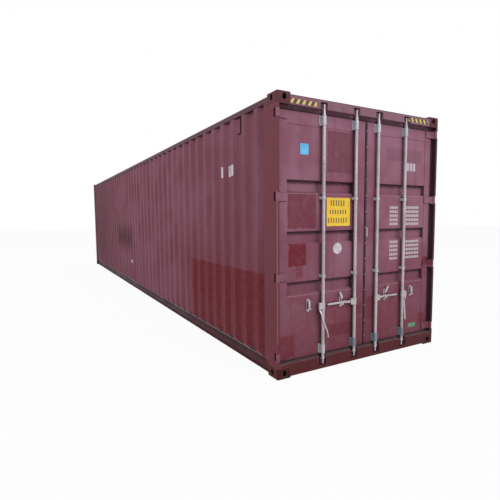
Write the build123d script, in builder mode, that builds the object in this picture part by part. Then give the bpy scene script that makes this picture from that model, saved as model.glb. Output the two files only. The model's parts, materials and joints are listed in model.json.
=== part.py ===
"""A forty-foot high-cube steel shipping container with working rear doors.

Millimetres. X runs along the length with the doors at +X, Y across, Z up.
The origin lies under the middle of the container, at the corner fittings' feet.
"""

import os
from math import cos, radians, sin

from build123d import *

# Overall envelope, over the corner fittings
length = 12192.0
width = 2438.0
height = 2896.0
face_setback = 3.0

# Corner fittings
fitting_length = 178.0
fitting_width = 162.0
fitting_height = 118.0
fitting_wall = 28.0
fitting_inner_wall = 11.0
fitting_radius = 14.0
fitting_soft = 8.0
aperture_length = 124.0
aperture_width = 63.5
aperture_inset_x = 103.5
aperture_inset_y = 89.5
side_hole_width = 51.0
end_hole_width = 58.0
hole_height = 66.0
low_hole_level = 61.0
top_hole_gap = 52.0

# Rear corner posts
post_plate = 6.0
post_side_depth = 244.0
post_lip = 27.0
post_channel_depth = 113.0
post_channel_width = 40.0
post_channel_thick = 12.0
post_channel_rear = 59.0

# Front corner posts
front_post_depth = 196.0
front_post_width = 159.0

# Side rails
top_rail_size = 60.0
top_rail_wall = 3.0
top_rail_radius = 6.0
bottom_rail_height = 158.0
bottom_rail_foot = 18.0
bottom_rail_top_flange = 48.0
bottom_rail_low_flange = 30.0
bottom_rail_wall = 4.5

# Roof and walls
sheet = 2.0
roof_drop = 22.0
roof_flat = 91.0
roof_slope = 13.5
roof_depth = 20.0
roof_edge = 60.0
wall_setback = 3.0
wall_crest = 72.0
wall_trough = 70.0
wall_slope = 68.0
wall_depth = 36.0
end_crest = 110.0
end_trough = 104.0
end_slope = 18.0
end_depth = 45.6

# Base
member_height = 122.0
member_flange = 45.0
member_wall = 4.0
member_count = 28
member_foot = 17.0
member_gap = 30.0
floor_thick = 28.0
floor_sheets = 5
floor_joint = 3.0
tunnel_length = 3315.0
tunnel_width = 1029.0
tunnel_height = 120.0
tunnel_wall = 5.0

# Door frame of the container
header_depth = 90.0
header_wall = 6.0
header_stop = 35.0
header_stop_depth = 31.0
sill_depth = 118.0
sill_height = 140.0
sill_wall = 6.0
front_sill_depth = 80.0

# Door leaves
leaf_recess = 60.0
leaf_thick = 50.0
leaf_gap_side = 10.0
leaf_gap_top = 8.0
leaf_gap_bottom = 10.0
seam_y = 24.0
seam_gap = 18.0
stile_width = 100.0
inner_stile_width = 160.0
leaf_rail = 128.0
tube_wall = 3.2
panel_setback = 4.0
groove_height = 138.0
groove_depth = 36.0
groove_top_slope = 8.0
groove_low_slope = 24.0
groove_low = 921.0
groove_top_gap = 915.0
groove_count = 3
gasket_clearance = 1.0
gasket_width = 24.0
gasket_inset = 22.0
gasket_seam = 5.0

# Hinges
pin_x = 20.0
pin_y = 21.0
pin_radius = 8.0
pin_clearance = 0.5
knuckle_radius = 19.0
knuckle_height = 83.0
hinge_gap = 2.0
lug_thick = 16.0
lug_width = 31.0
slot_length = 61.0
slot_margin = 3.0
blade_thick = 10.0
blade_reach = 139.0
hinge_low = 235.0
hinge_top_gap = 206.0
hinge_count = 4

# Lock rods
rod_setback = 28.0
rod_radius = 18.0
rod_bore = 13.5
rod_clearance = 0.6
rod_inner_offset = 172.0
rod_outer_offset = 632.0
rod_foot = 136.0
rod_top_gap = 163.0
collar_radius = 21.0
collar_height = 12.0
neck_height = 42.0

# Cams at the rods' ends
cam_low = 62.0
cam_top_gap = 58.0
cam_core = 13.0
cam_reach = 29.0
cam_nose = 9.0
cam_skew = 30.0
lobe_margin = 4.0
lobe_height = 14.0
lobe_gap = 24.0

# Pockets and keepers
pocket_left = 68.0
pocket_right = {-1: 28.0, 1: 43.0}
pocket_depth = 62.0
pocket_margin = 12.0
pocket_radius = 16.0
keeper_back = 5.0
prong_thick = 8.0
prong_depth = 50.0
prong_left = 39.0
rib_gap = 5.0

# Rod brackets
bracket_plate = 5.0
bracket_width = 88.0
bracket_corner = 14.0
bracket_boss = 24.0
bracket_foot = 29.0
bracket_height = 108.0
bracket_margin = 8.0
boss_inset = 6.0
guide_low = 1033.0
guide_top_gap = 1026.0
guide_height = 36.0
guide_width = 70.0
guide_corner = 8.0
guide_inset = 2.0

# Hubs and handles
handle_level = 706.0
hub_radius = 23.0
hub_height = 72.0
hub_reach = 60.0
hub_half = 13.0
hub_corner = 14.0
hub_web = 5.0
pivot_offset = 42.0
pivot_radius = 6.0
pivot_stand = 2.0
handle_length = 342.0
handle_thick = 9.0
handle_under = 11.0
handle_over = 15.0
handle_tip_over = 9.0
handle_root = 14.0
handle_play = 1.0
handle_lean = 7.0
joggle_start = 60.0
joggle_run = 34.0
joggle_depth = 18.0

# The left outer handle's bend: across, down and half width from its pivot
bend_path = (
    (0.0, 0.0, 14.0),
    (1.0, -46.0, 13.0),
    (7.0, -86.0, 12.0),
    (18.0, -131.0, 11.0),
    (43.0, -198.0, 9.5),
    (73.0, -260.0, 8.0),
    (90.0, -306.0, 7.0),
    (97.0, -356.0, 6.0),
)
bend_start = 46.0
bend_run = 44.0
bend_thick = 6.0
bend_gap = 3.5

# Retainers and hasps
retainer_offset = 180.0
retainer_width = 44.0
retainer_plate = 4.0
retainer_low = 653.0
retainer_high = 794.0
retainer_eye_level = 717.0
retainer_eye_height = 70.0
retainer_eye_width = 17.0
cradle_thick = 14.0
cradle_play = 0.4
cradle_depth = 30.0
hasp_level = 770.0
hasp_length = 82.0
hasp_width = 26.0
hasp_thick = 4.0
hasp_gap = 5.5
stud_radius = 6.0
hasp_raised = 150.0

# Ventilators
vent_width = 88.0
vent_foot = 66.0
vent_flare = 8.0
vent_height = 160.0
vent_depth = 22.0
vent_top_gap = 17.0

# Faces and levels that several pieces share
x_end = length / 2
y_side = width / 2
x_face = x_end - face_setback
y_face = y_side - face_setback
x_fit = x_end - fitting_length
y_fit = y_side - fitting_width
roof_level = height - roof_drop
top_rail_top = roof_level - sheet
top_rail_low = top_rail_top - top_rail_size
post_top = height - fitting_height
bottom_rail_top = bottom_rail_foot + bottom_rail_height
floor_foot = member_foot + member_height
floor_top = floor_foot + floor_thick
post_inner_y = y_face - post_plate - post_channel_width
channel_rear_x = x_face - post_channel_rear
leaf_face = x_end - leaf_recess
leaf_back = leaf_face - leaf_thick
panel_face = leaf_face - panel_setback
sill_top = bottom_rail_foot + sill_height
header_low = post_top - header_stop
leaf_low = sill_top + leaf_gap_bottom
leaf_high = header_low - leaf_gap_top
leaf_edge = post_inner_y - leaf_gap_side
cam_high = height - cam_top_gap
rod_top = height - rod_top_gap
guide_levels = (guide_low, height - guide_top_gap)
hinge_x = x_end - pin_x
hinge_y = y_side - pin_y
rod_x = x_end - rod_setback
pocket_x = x_face - pocket_depth
wall_y = y_face - wall_setback


def outline(points):
    """Fill a closed straight-sided outline inside the current sketch."""
    Polygon(*points, align=None)


def block(low, high, mode=Mode.ADD):
    """Add or cut a plain plate or bar between two opposite corners."""
    middle = [(a + b) / 2 for a, b in zip(low, high)]
    with Locations(tuple(middle)):
        Box(*[b - a for a, b in zip(low, high)], mode=mode)


def save(part, name):
    """Label one finished piece and write its file."""
    part.label = name
    export_step(part, f"parts/{name}.step")


def spread(first, last, count):
    """Evenly spaced values from first to last."""
    step = (last - first) / (count - 1)
    return [first + index * step for index in range(count)]


def corrugation(start, crest, trough, slope, depth, count):
    """Points of a pressed sheet's face, from trough to trough."""
    points = [(start, depth)]
    place = start
    for _ in range(count):
        place += trough
        points.append((place, depth))
        place += slope
        points.append((place, 0.0))
        place += crest
        points.append((place, 0.0))
        place += slope
        points.append((place, depth))
    points.append((place + trough, depth))
    return points


os.makedirs("parts", exist_ok=True)


# Corner fittings: hollow castings with a slot underfoot and an oval hole in each outer face
def corner_fittings(foot, mouth):
    """Four castings whose slotted face lies at the level called mouth."""
    upward = mouth > foot
    cavity_low = foot + (fitting_inner_wall if upward else fitting_wall)
    cavity_height = fitting_height - fitting_wall - fitting_inner_wall
    slot_level = mouth - fitting_wall if upward else mouth
    hole_level = mouth - top_hole_gap if upward else mouth + low_hole_level
    cavity_length = fitting_length - fitting_wall - fitting_inner_wall
    cavity_width = fitting_width - fitting_wall - fitting_inner_wall
    cavity_x = x_end - fitting_wall - cavity_length / 2
    cavity_y = y_side - fitting_wall - cavity_width / 2
    with BuildPart() as fittings:
        with BuildSketch(Plane.XY.offset(foot)) as footprint:
            with Locations((x_end - fitting_length / 2, y_side - fitting_width / 2)):
                Rectangle(fitting_length, fitting_width)
            corner = footprint.vertices().sort_by(Axis.X)[-2:].sort_by(Axis.Y)[-1]
            fillet(corner, fitting_radius)
        extrude(amount=fitting_height)
        rim = fittings.edges().group_by(Axis.Z)[-1 if upward else 0]
        inner_x = x_fit + fitting_radius
        inner_y = y_fit + fitting_radius
        outer_rim = [edge for edge in rim if edge.center().X > inner_x and edge.center().Y > inner_y]
        chamfer(outer_rim, fitting_soft)
        with BuildSketch(Plane.XY.offset(cavity_low)):
            with Locations((cavity_x, cavity_y)):
                Rectangle(cavity_length, cavity_width)
        extrude(amount=cavity_height, mode=Mode.SUBTRACT)
        with BuildSketch(Plane.XY.offset(slot_level)):
            with Locations((x_end - aperture_inset_x, y_side - aperture_inset_y)):
                SlotOverall(aperture_length, aperture_width)
        extrude(amount=fitting_wall, mode=Mode.SUBTRACT)
        with BuildSketch(Plane.YZ.offset(x_end - fitting_wall)):
            with Locations((y_side - aperture_inset_y, hole_level)):
                SlotOverall(hole_height, end_hole_width, rotation=90)
        extrude(amount=fitting_wall, mode=Mode.SUBTRACT)
        with BuildSketch(Plane.XZ.offset(fitting_wall - y_side)):
            with Locations((x_end - aperture_inset_x, hole_level)):
                SlotOverall(hole_height, side_hole_width, rotation=90)
        extrude(amount=-fitting_wall, mode=Mode.SUBTRACT)
        mirror(about=Plane.XZ)
        mirror(about=Plane.YZ)
    return fittings.part


save(corner_fittings(0.0, 0.0), "bottom_corner_fittings")
save(corner_fittings(post_top, height), "top_corner_fittings")

# Rear corner posts: a side plate with a short rear lip, over a rolled channel
hinge_levels = spread(hinge_low, height - hinge_top_gap, hinge_count)
slot_half = knuckle_height / 2 + slot_margin
plate_y = y_face - post_plate

with BuildPart() as rear_corner_posts:
    with BuildSketch(Plane.XZ.offset(-y_face)):
        outline(
            [
                (x_face, fitting_height),
                (x_face, post_top),
                (x_fit, post_top),
                (x_fit, top_rail_low),
                (x_face - post_side_depth, top_rail_low),
                (x_face - post_side_depth, bottom_rail_top),
                (x_fit, bottom_rail_top),
                (x_fit, fitting_height),
            ]
        )
    extrude(amount=post_plate)
    block((x_face - post_plate, y_face - post_lip, fitting_height), (x_face, y_face, post_top))
    channel_front_x = channel_rear_x - post_channel_depth
    with BuildSketch(Plane.XY.offset(fitting_height)):
        outline(
            [
                (channel_front_x, plate_y),
                (channel_front_x, post_inner_y),
                (channel_rear_x, post_inner_y),
                (channel_rear_x, plate_y),
                (channel_rear_x - post_channel_thick, plate_y),
                (channel_rear_x - post_channel_thick, post_inner_y + post_channel_thick),
                (channel_front_x + post_channel_thick, post_inner_y + post_channel_thick),
                (channel_front_x + post_channel_thick, plate_y),
            ]
        )
    extrude(amount=post_top - fitting_height)
    for level in hinge_levels:
        block(
            (x_face - slot_length, y_face - post_lip, level - slot_half),
            (x_face, y_face, level + slot_half),
            Mode.SUBTRACT,
        )
    mirror(about=Plane.XZ)
save(rear_corner_posts.part, "rear_corner_posts")

# Hinge lugs: a pair of bored plates inside the post, above and below each knuckle
knuckle_half = knuckle_height / 2
with BuildPart() as hinge_lugs:
    for level in hinge_levels:
        for lug_foot in (level - knuckle_half - hinge_gap - lug_thick, level + knuckle_half + hinge_gap):
            with BuildSketch(Plane.XY.offset(lug_foot)):
                outline(
                    [
                        (channel_rear_x, plate_y),
                        (x_face - post_plate, plate_y),
                        (x_face - post_plate, plate_y - lug_width),
                        (channel_rear_x, plate_y - lug_width),
                    ]
                )
                with Locations((hinge_x, hinge_y)):
                    Circle(pin_radius, mode=Mode.SUBTRACT)
            extrude(amount=lug_thick)
    mirror(about=Plane.XZ)
save(hinge_lugs.part, "hinge_lugs")

# Hinge pins: one through each pair of lugs
pin_length = knuckle_height + 2 * hinge_gap + 2 * lug_thick
with BuildPart() as hinge_pins:
    for level in hinge_levels:
        with Locations((hinge_x, hinge_y, level), (hinge_x, -hinge_y, level)):
            Cylinder(pin_radius, pin_length)
save(hinge_pins.part, "hinge_pins")

# Front corner posts: one pressed section each
front_x = -x_face
with BuildPart() as front_corner_posts:
    with BuildSketch(Plane.XY.offset(fitting_height)):
        outline(
            [
                (front_x + fitting_length - face_setback, y_face),
                (front_x, y_face),
                (front_x, y_face - front_post_width),
                (front_x + end_depth + post_plate, y_face - front_post_width),
                (front_x + end_depth + post_plate, y_face - front_post_width + post_plate),
                (front_x + post_plate, y_face - front_post_width + post_plate),
                (front_x + post_plate, plate_y),
                (front_x + fitting_length - face_setback, plate_y),
            ]
        )
    extrude(amount=post_top - fitting_height)
    block(
        (-x_fit, plate_y, bottom_rail_top),
        (front_x + front_post_depth, y_face, top_rail_low),
    )
    mirror(about=Plane.XZ)
save(front_corner_posts.part, "front_corner_posts")

# Side rails: square tube along the roof, outward-facing channel along the base
with BuildPart() as top_side_rails:
    with BuildSketch(Plane.YZ.offset(-x_fit)):
        with Locations((y_face - top_rail_size / 2, top_rail_low + top_rail_size / 2)):
            RectangleRounded(top_rail_size, top_rail_size, top_rail_radius)
            hollow = top_rail_size - 2 * top_rail_wall
            RectangleRounded(hollow, hollow, top_rail_radius - top_rail_wall, mode=Mode.SUBTRACT)
    extrude(amount=2 * x_fit)
    mirror(about=Plane.XZ)
save(top_side_rails.part, "top_side_rails")

rail_web_y = y_face - bottom_rail_top_flange
with BuildPart() as bottom_side_rails:
    with BuildSketch(Plane.YZ.offset(-x_fit)):
        outline(
            [
                (y_face, bottom_rail_top),
                (rail_web_y, bottom_rail_top),
                (rail_web_y, bottom_rail_foot),
                (rail_web_y + bottom_rail_low_flange, bottom_rail_foot),
                (rail_web_y + bottom_rail_low_flange, bottom_rail_foot + bottom_rail_wall),
                (rail_web_y + bottom_rail_wall, bottom_rail_foot + bottom_rail_wall),
                (rail_web_y + bottom_rail_wall, bottom_rail_top - bottom_rail_wall),
                (y_face, bottom_rail_top - bottom_rail_wall),
            ]
        )
    extrude(amount=2 * x_fit)
    mirror(about=Plane.XZ)
save(bottom_side_rails.part, "bottom_side_rails")

# Side walls: pressed sheet between the rails, from post to post
wall_rear = x_face - post_side_depth
wall_front = front_x + front_post_depth
wall_pitch = wall_crest + wall_trough + 2 * wall_slope
wall_waves = int((wall_rear - wall_front) // wall_pitch)
wall_run = wall_waves * wall_pitch + wall_trough
wall_start = wall_rear - wall_run


def side_wall(hand):
    """One side's sheet; hand is -1 for the left side and 1 for the right."""
    face = corrugation(wall_start, wall_crest, wall_trough, wall_slope, wall_depth, wall_waves)
    face[0] = (wall_front, wall_depth)
    outer = [(x, hand * (wall_y - drop)) for x, drop in face]
    inner = [(x, hand * (wall_y - drop - sheet)) for x, drop in reversed(face)]
    with BuildPart() as wall:
        with BuildSketch(Plane.XY.offset(bottom_rail_top)):
            outline(outer + inner)
        extrude(amount=top_rail_low - bottom_rail_top)
    return wall.part


save(side_wall(-1), "left_side_wall")
save(side_wall(1), "right_side_wall")

# Front rails: flat-faced sections between the front fittings
with BuildPart() as front_top_rail:
    block(
        (front_x, -y_fit, top_rail_low),
        (front_x + header_depth, y_fit, top_rail_top),
    )
    block(
        (front_x + header_depth, -y_fit, top_rail_top - header_wall),
        (-x_fit, y_fit, top_rail_top),
    )
save(front_top_rail.part, "front_top_rail")

with BuildPart() as front_bottom_rail:
    block(
        (front_x, -y_fit, bottom_rail_foot),
        (front_x + front_sill_depth, y_fit, bottom_rail_top),
    )
    block(
        (front_x, -tunnel_width / 2, bottom_rail_foot),
        (front_x + front_sill_depth, tunnel_width / 2, floor_foot - tunnel_wall),
        Mode.SUBTRACT,
    )
save(front_bottom_rail.part, "front_bottom_rail")

# Front wall: deeper pressed sheet between the front posts
end_half = y_face - front_post_width
end_pitch = end_crest + end_trough + 2 * end_slope
end_waves = int((2 * end_half - end_trough) // end_pitch)
end_start = -(end_waves * end_pitch + end_trough) / 2
with BuildPart() as front_wall:
    face = corrugation(end_start, end_crest, end_trough, end_slope, end_depth, end_waves)
    face[0] = (-end_half, end_depth)
    face[-1] = (end_half, end_depth)
    outer = [(front_x + drop, y) for y, drop in face]
    inner = [(front_x + drop + sheet, y) for y, drop in reversed(face)]
    with BuildSketch(Plane.XY.offset(bottom_rail_top)):
        outline(outer + inner)
    extrude(amount=top_rail_low - bottom_rail_top)
save(front_wall.part, "front_wall")

# Roof: sheet with shallow pressed troughs across it, closed at their ends
roof_front = -x_fit
roof_rear = x_fit
roof_half = y_face - top_rail_size / 2
roof_pitch = 2 * (roof_flat + roof_slope)
roof_waves = int((roof_rear - roof_front - roof_flat) // roof_pitch)
roof_start = (roof_front + roof_rear) / 2 - (roof_waves * roof_pitch + roof_flat) / 2
trough_half = y_face - top_rail_size - roof_edge
with BuildPart() as roof:
    face = [(roof_front, roof_level)]
    for wave in range(roof_waves):
        lip = roof_start + roof_flat + wave * roof_pitch
        face.append((lip, roof_level))
        face.append((lip + roof_slope, roof_level - roof_depth))
        face.append((lip + roof_slope + roof_flat, roof_level - roof_depth))
        face.append((lip + 2 * roof_slope + roof_flat, roof_level))
    face.append((roof_rear, roof_level))
    under = [(x, z - sheet) for x, z in reversed(face)]
    with BuildSketch(Plane.XZ.offset(-trough_half)):
        outline(face + under)
    extrude(amount=2 * trough_half)
    for hand in (-1, 1):
        low_y, high_y = sorted((hand * trough_half, hand * roof_half))
        block((roof_front, low_y, roof_level - sheet), (roof_rear, high_y, roof_level))
        low_y, high_y = sorted((hand * trough_half, hand * (trough_half + sheet)))
        block((roof_front, low_y, roof_level - roof_depth - sheet), (roof_rear, high_y, roof_level))
save(roof.part, "roof")

# Door header: hollow beam with a lower stop, and a pocket for each lock rod
rod_rows = []
for hand in (-1, 1):
    for offset in (rod_outer_offset, rod_inner_offset):
        rod_rows.append((seam_y + hand * offset, hand))


def pocket_span(rod_y, hand):
    """Low and high Y of the pocket round one rod, wider on the cam's side."""
    return rod_y - pocket_left, rod_y + pocket_right[hand]


pocket_roof = cam_high + pocket_margin
pocket_floor = cam_low - pocket_margin
header_back = x_face - header_depth
with BuildPart() as door_header:
    with BuildSketch(Plane.XZ.offset(-y_fit)):
        outline(
            [
                (header_back, top_rail_top),
                (x_face, top_rail_top),
                (x_face, post_top),
                (header_back, post_top),
            ]
        )
        with Locations(((header_back + x_face) / 2, (top_rail_top + post_top) / 2)):
            Rectangle(
                header_depth - 2 * header_wall,
                top_rail_top - post_top - 2 * header_wall,
                mode=Mode.SUBTRACT,
            )
    extrude(amount=2 * y_fit)
    block((x_fit, -y_fit, top_rail_top - header_wall), (header_back, y_fit, top_rail_top))
    for rod_y, hand in rod_rows:
        low_y, high_y = pocket_span(rod_y, hand)
        block(
            (pocket_x - header_wall, low_y - header_wall, post_top),
            (x_face, high_y + header_wall, pocket_roof + header_wall),
        )
    for rod_y, hand in rod_rows:
        low_y, high_y = pocket_span(rod_y, hand)
        with BuildSketch(Plane.YZ.offset(pocket_x)) as opening:
            with Locations(((low_y + high_y) / 2, (post_top + pocket_roof) / 2)):
                Rectangle(high_y - low_y, pocket_roof - post_top)
            fillet(opening.vertices().group_by(Axis.Y)[-1], pocket_radius)
        extrude(amount=pocket_depth, mode=Mode.SUBTRACT)
save(door_header.part, "door_header")

# Door stop: a bar under the header, from post to post, that the leaves close against
with BuildPart() as door_stop:
    block(
        (header_back, -post_inner_y, header_low),
        (header_back + header_stop_depth, post_inner_y, post_top),
    )
save(door_stop.part, "door_stop")

# Door sill: hollow beam with a threshold plate, and a pocket for each lock rod
sill_back = x_face - sill_depth
with BuildPart() as door_sill:
    with BuildSketch(Plane.XZ.offset(-y_fit)):
        with Locations(((sill_back + x_face) / 2, (bottom_rail_foot + sill_top) / 2)):
            Rectangle(sill_depth, sill_height)
            Rectangle(
                sill_depth - 2 * sill_wall, sill_height - 2 * sill_wall, mode=Mode.SUBTRACT
            )
    extrude(amount=2 * y_fit)
    block(
        (sill_back, -post_inner_y, fitting_height),
        (channel_rear_x, post_inner_y, sill_top),
    )
    for hand in (-1, 1):
        low_y, high_y = sorted((hand * y_fit, hand * (y_face - post_lip)))
        block((channel_rear_x, low_y, fitting_height), (x_face, high_y, sill_top))
    for rod_y, hand in rod_rows:
        low_y, high_y = pocket_span(rod_y, hand)
        block(
            (pocket_x - sill_wall, low_y - sill_wall, pocket_floor - sill_wall),
            (x_face, high_y + sill_wall, sill_top),
        )
    for rod_y, hand in rod_rows:
        low_y, high_y = pocket_span(rod_y, hand)
        with BuildSketch(Plane.YZ.offset(pocket_x)) as opening:
            with Locations(((low_y + high_y) / 2, (sill_top + pocket_floor) / 2)):
                Rectangle(high_y - low_y, sill_top - pocket_floor)
            fillet(opening.vertices().group_by(Axis.Y)[0], pocket_radius)
        extrude(amount=pocket_depth, mode=Mode.SUBTRACT)
save(door_sill.part, "door_sill")

# Cam keepers: a back plate, two prongs open to the rear, and a rib between the cam's lobes
keeper_height = 2 * lobe_height + lobe_gap
keeper_feet = (cam_low + lobe_margin, cam_high - lobe_margin - keeper_height)
with BuildPart() as cam_keepers:
    for rod_y, hand in rod_rows:
        low_y = rod_y - prong_left
        high_y = rod_y + pocket_right[hand] - prong_thick
        for foot in keeper_feet:
            top = foot + keeper_height
            for prong_y in (low_y - prong_thick, high_y):
                block(
                    (pocket_x, prong_y, foot),
                    (pocket_x + prong_depth, prong_y + prong_thick, top),
                )
            block((pocket_x, low_y, foot), (pocket_x + keeper_back, high_y, top))
            block(
                (pocket_x, low_y, foot + lobe_height + rib_gap),
                (rod_x - cam_core - rib_gap, high_y, top - lobe_height - rib_gap),
            )
save(cam_keepers.part, "cam_keepers")

# Floor structure: cross members, gooseneck tunnel and plywood sheets
tunnel_end = front_x + tunnel_length
members = spread(member_gap - x_fit, x_fit - member_gap - member_flange, member_count)
tunnel_half = tunnel_width / 2
with BuildPart() as cross_members:
    for place in members:
        bays = [(-rail_web_y, rail_web_y)]
        if place < tunnel_end + member_flange:
            bays = [(-rail_web_y, -tunnel_half - tunnel_wall), (tunnel_half + tunnel_wall, rail_web_y)]
        for low_y, high_y in bays:
            with BuildSketch(Plane.XZ.offset(-high_y)):
                outline(
                    [
                        (place, member_foot),
                        (place + member_flange, member_foot),
                        (place + member_flange, member_foot + member_wall),
                        (place + member_wall, member_foot + member_wall),
                        (place + member_wall, floor_foot - member_wall),
                        (place + member_flange, floor_foot - member_wall),
                        (place + member_flange, floor_foot),
                        (place, floor_foot),
                    ]
                )
            extrude(amount=high_y - low_y)
save(cross_members.part, "cross_members")

with BuildPart() as gooseneck_tunnel:
    with BuildSketch(Plane.YZ.offset(front_x + front_sill_depth)):
        outline(
            [
                (-tunnel_half - tunnel_wall, member_foot),
                (-tunnel_half, member_foot),
                (-tunnel_half, floor_foot - tunnel_wall),
                (tunnel_half, floor_foot - tunnel_wall),
                (tunnel_half, member_foot),
                (tunnel_half + tunnel_wall, member_foot),
                (tunnel_half + tunnel_wall, floor_foot),
                (-tunnel_half - tunnel_wall, floor_foot),
            ]
        )
    extrude(amount=tunnel_length - front_sill_depth)
save(gooseneck_tunnel.part, "gooseneck_tunnel")

floor_front = front_x + front_sill_depth
floor_rear = sill_back
sheet_run = (floor_rear - floor_front - (floor_sheets - 1) * floor_joint) / floor_sheets
with BuildPart() as plywood_floor:
    for index in range(floor_sheets):
        start = floor_front + index * (sheet_run + floor_joint)
        block((start, -rail_web_y, floor_foot), (start + sheet_run, rail_web_y, floor_top))
save(plywood_floor.part, "plywood_floor")

# Ventilators: shallow covers in a trough under the roof rail, one each side
vent_x = wall_rear - 2 * wall_pitch - wall_trough / 2
with BuildPart() as ventilators:
    for place, hand in ((vent_x, -1), (-vent_x, 1)):
        face_y = wall_y - wall_depth
        vent_top = top_rail_low - vent_top_gap
        trough = round((place - wall_start - wall_trough / 2) / wall_pitch)
        middle = wall_start + wall_trough / 2 + trough * wall_pitch
        with BuildSketch(Plane.XY.offset(vent_top - vent_height)):
            outline(
                [
                    (middle - vent_foot / 2, hand * face_y),
                    (middle - vent_width / 2, hand * (face_y + vent_flare)),
                    (middle - vent_width / 2, hand * (face_y + vent_depth)),
                    (middle + vent_width / 2, hand * (face_y + vent_depth)),
                    (middle + vent_width / 2, hand * (face_y + vent_flare)),
                    (middle + vent_foot / 2, hand * face_y),
                ]
            )
        extrude(amount=vent_height)
save(ventilators.part, "ventilators")


# Door leaves: each has a tube and channel frame, a grooved panel and a seal
def leaf_span(hand):
    """Y of a leaf's hinge edge and of its seam edge."""
    return hand * leaf_edge, seam_y + hand * seam_gap / 2


def leaf_frame(hand):
    """Two hollow stiles and two channel rails, welded into one frame."""
    hinge_edge, seam_edge = leaf_span(hand)
    with BuildPart() as frame:
        for edge, toward, wide in (
            (hinge_edge, -hand, stile_width),
            (seam_edge, hand, inner_stile_width),
        ):
            with BuildSketch(Plane.XY.offset(leaf_low)):
                with Locations((leaf_face - leaf_thick / 2, edge + toward * wide / 2)):
                    Rectangle(leaf_thick, wide)
                    Rectangle(leaf_thick - 2 * tube_wall, wide - 2 * tube_wall, mode=Mode.SUBTRACT)
            extrude(amount=leaf_high - leaf_low)
        low_y, high_y = sorted(
            (hinge_edge - hand * stile_width, seam_edge + hand * inner_stile_width)
        )
        for foot in (leaf_low, leaf_high - leaf_rail):
            with BuildSketch(Plane.XZ.offset(-high_y)):
                outline(
                    [
                        (leaf_back, foot),
                        (leaf_face, foot),
                        (leaf_face, foot + leaf_rail),
                        (leaf_back, foot + leaf_rail),
                        (leaf_back, foot + leaf_rail - tube_wall),
                        (leaf_face - tube_wall, foot + leaf_rail - tube_wall),
                        (leaf_face - tube_wall, foot + tube_wall),
                        (leaf_back, foot + tube_wall),
                    ]
                )
            extrude(amount=high_y - low_y)
    return frame.part


def leaf_panel(hand):
    """The pressed sheet inside the frame, with its level grooves."""
    hinge_edge, seam_edge = leaf_span(hand)
    low_y, high_y = sorted(
        (hinge_edge - hand * stile_width, seam_edge + hand * inner_stile_width)
    )
    face = [(panel_face, leaf_low + leaf_rail)]
    for level in spread(groove_low, height - groove_top_gap, groove_count):
        foot = level - groove_height / 2
        top = level + groove_height / 2
        face.append((panel_face, foot))
        face.append((panel_face - groove_depth, foot + groove_low_slope))
        face.append((panel_face - groove_depth, top - groove_top_slope))
        face.append((panel_face, top))
    face.append((panel_face, leaf_high - leaf_rail))
    back = [(x - sheet, z) for x, z in reversed(face)]
    with BuildPart() as panel:
        with BuildSketch(Plane.XZ.offset(-high_y)):
            outline(face + back)
        extrude(amount=high_y - low_y)
    return panel.part


def leaf_gasket(hand):
    """The rubber seal round the leaf's edge."""
    hinge_edge, seam_edge = leaf_span(hand)
    outer_y = hinge_edge + hand * (leaf_gap_side - gasket_clearance)
    inner_y = seam_edge - hand * gasket_seam
    low_y, high_y = sorted((outer_y, inner_y))
    leaf_low_y, leaf_high_y = sorted((hinge_edge, seam_edge))
    rear_x = leaf_face - gasket_inset
    with BuildPart() as gasket:
        block(
            (rear_x - gasket_width, low_y, leaf_low - leaf_gap_bottom + gasket_clearance),
            (rear_x, high_y, leaf_high + leaf_gap_top - gasket_clearance),
        )
        block(
            (rear_x - gasket_width, leaf_low_y, leaf_low),
            (rear_x, leaf_high_y, leaf_high),
            Mode.SUBTRACT,
        )
    return gasket.part


def hinge_blades(hand):
    """Four cranked straps, each from its knuckle onto the hinge stile."""
    reach_y = hinge_y - blade_reach
    crank_y = leaf_edge - blade_thick
    with BuildPart() as blades:
        for level in hinge_levels:
            with BuildSketch(Plane.XY.offset(level - knuckle_half)):
                with Locations((hinge_x, hinge_y)):
                    Circle(knuckle_radius)
                outline(
                    [
                        (leaf_face, reach_y),
                        (leaf_face + blade_thick, reach_y),
                        (leaf_face + blade_thick, crank_y),
                        (hinge_x + blade_thick / 2, hinge_y - knuckle_radius / 2),
                        (hinge_x - blade_thick, hinge_y - knuckle_radius / 2),
                        (leaf_face, crank_y + blade_thick),
                    ]
                )
                with Locations((hinge_x, hinge_y)):
                    Circle(pin_radius + pin_clearance, mode=Mode.SUBTRACT)
            extrude(amount=knuckle_height)
        if hand < 0:
            mirror(about=Plane.XZ, mode=Mode.REPLACE)
    return blades.part


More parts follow.
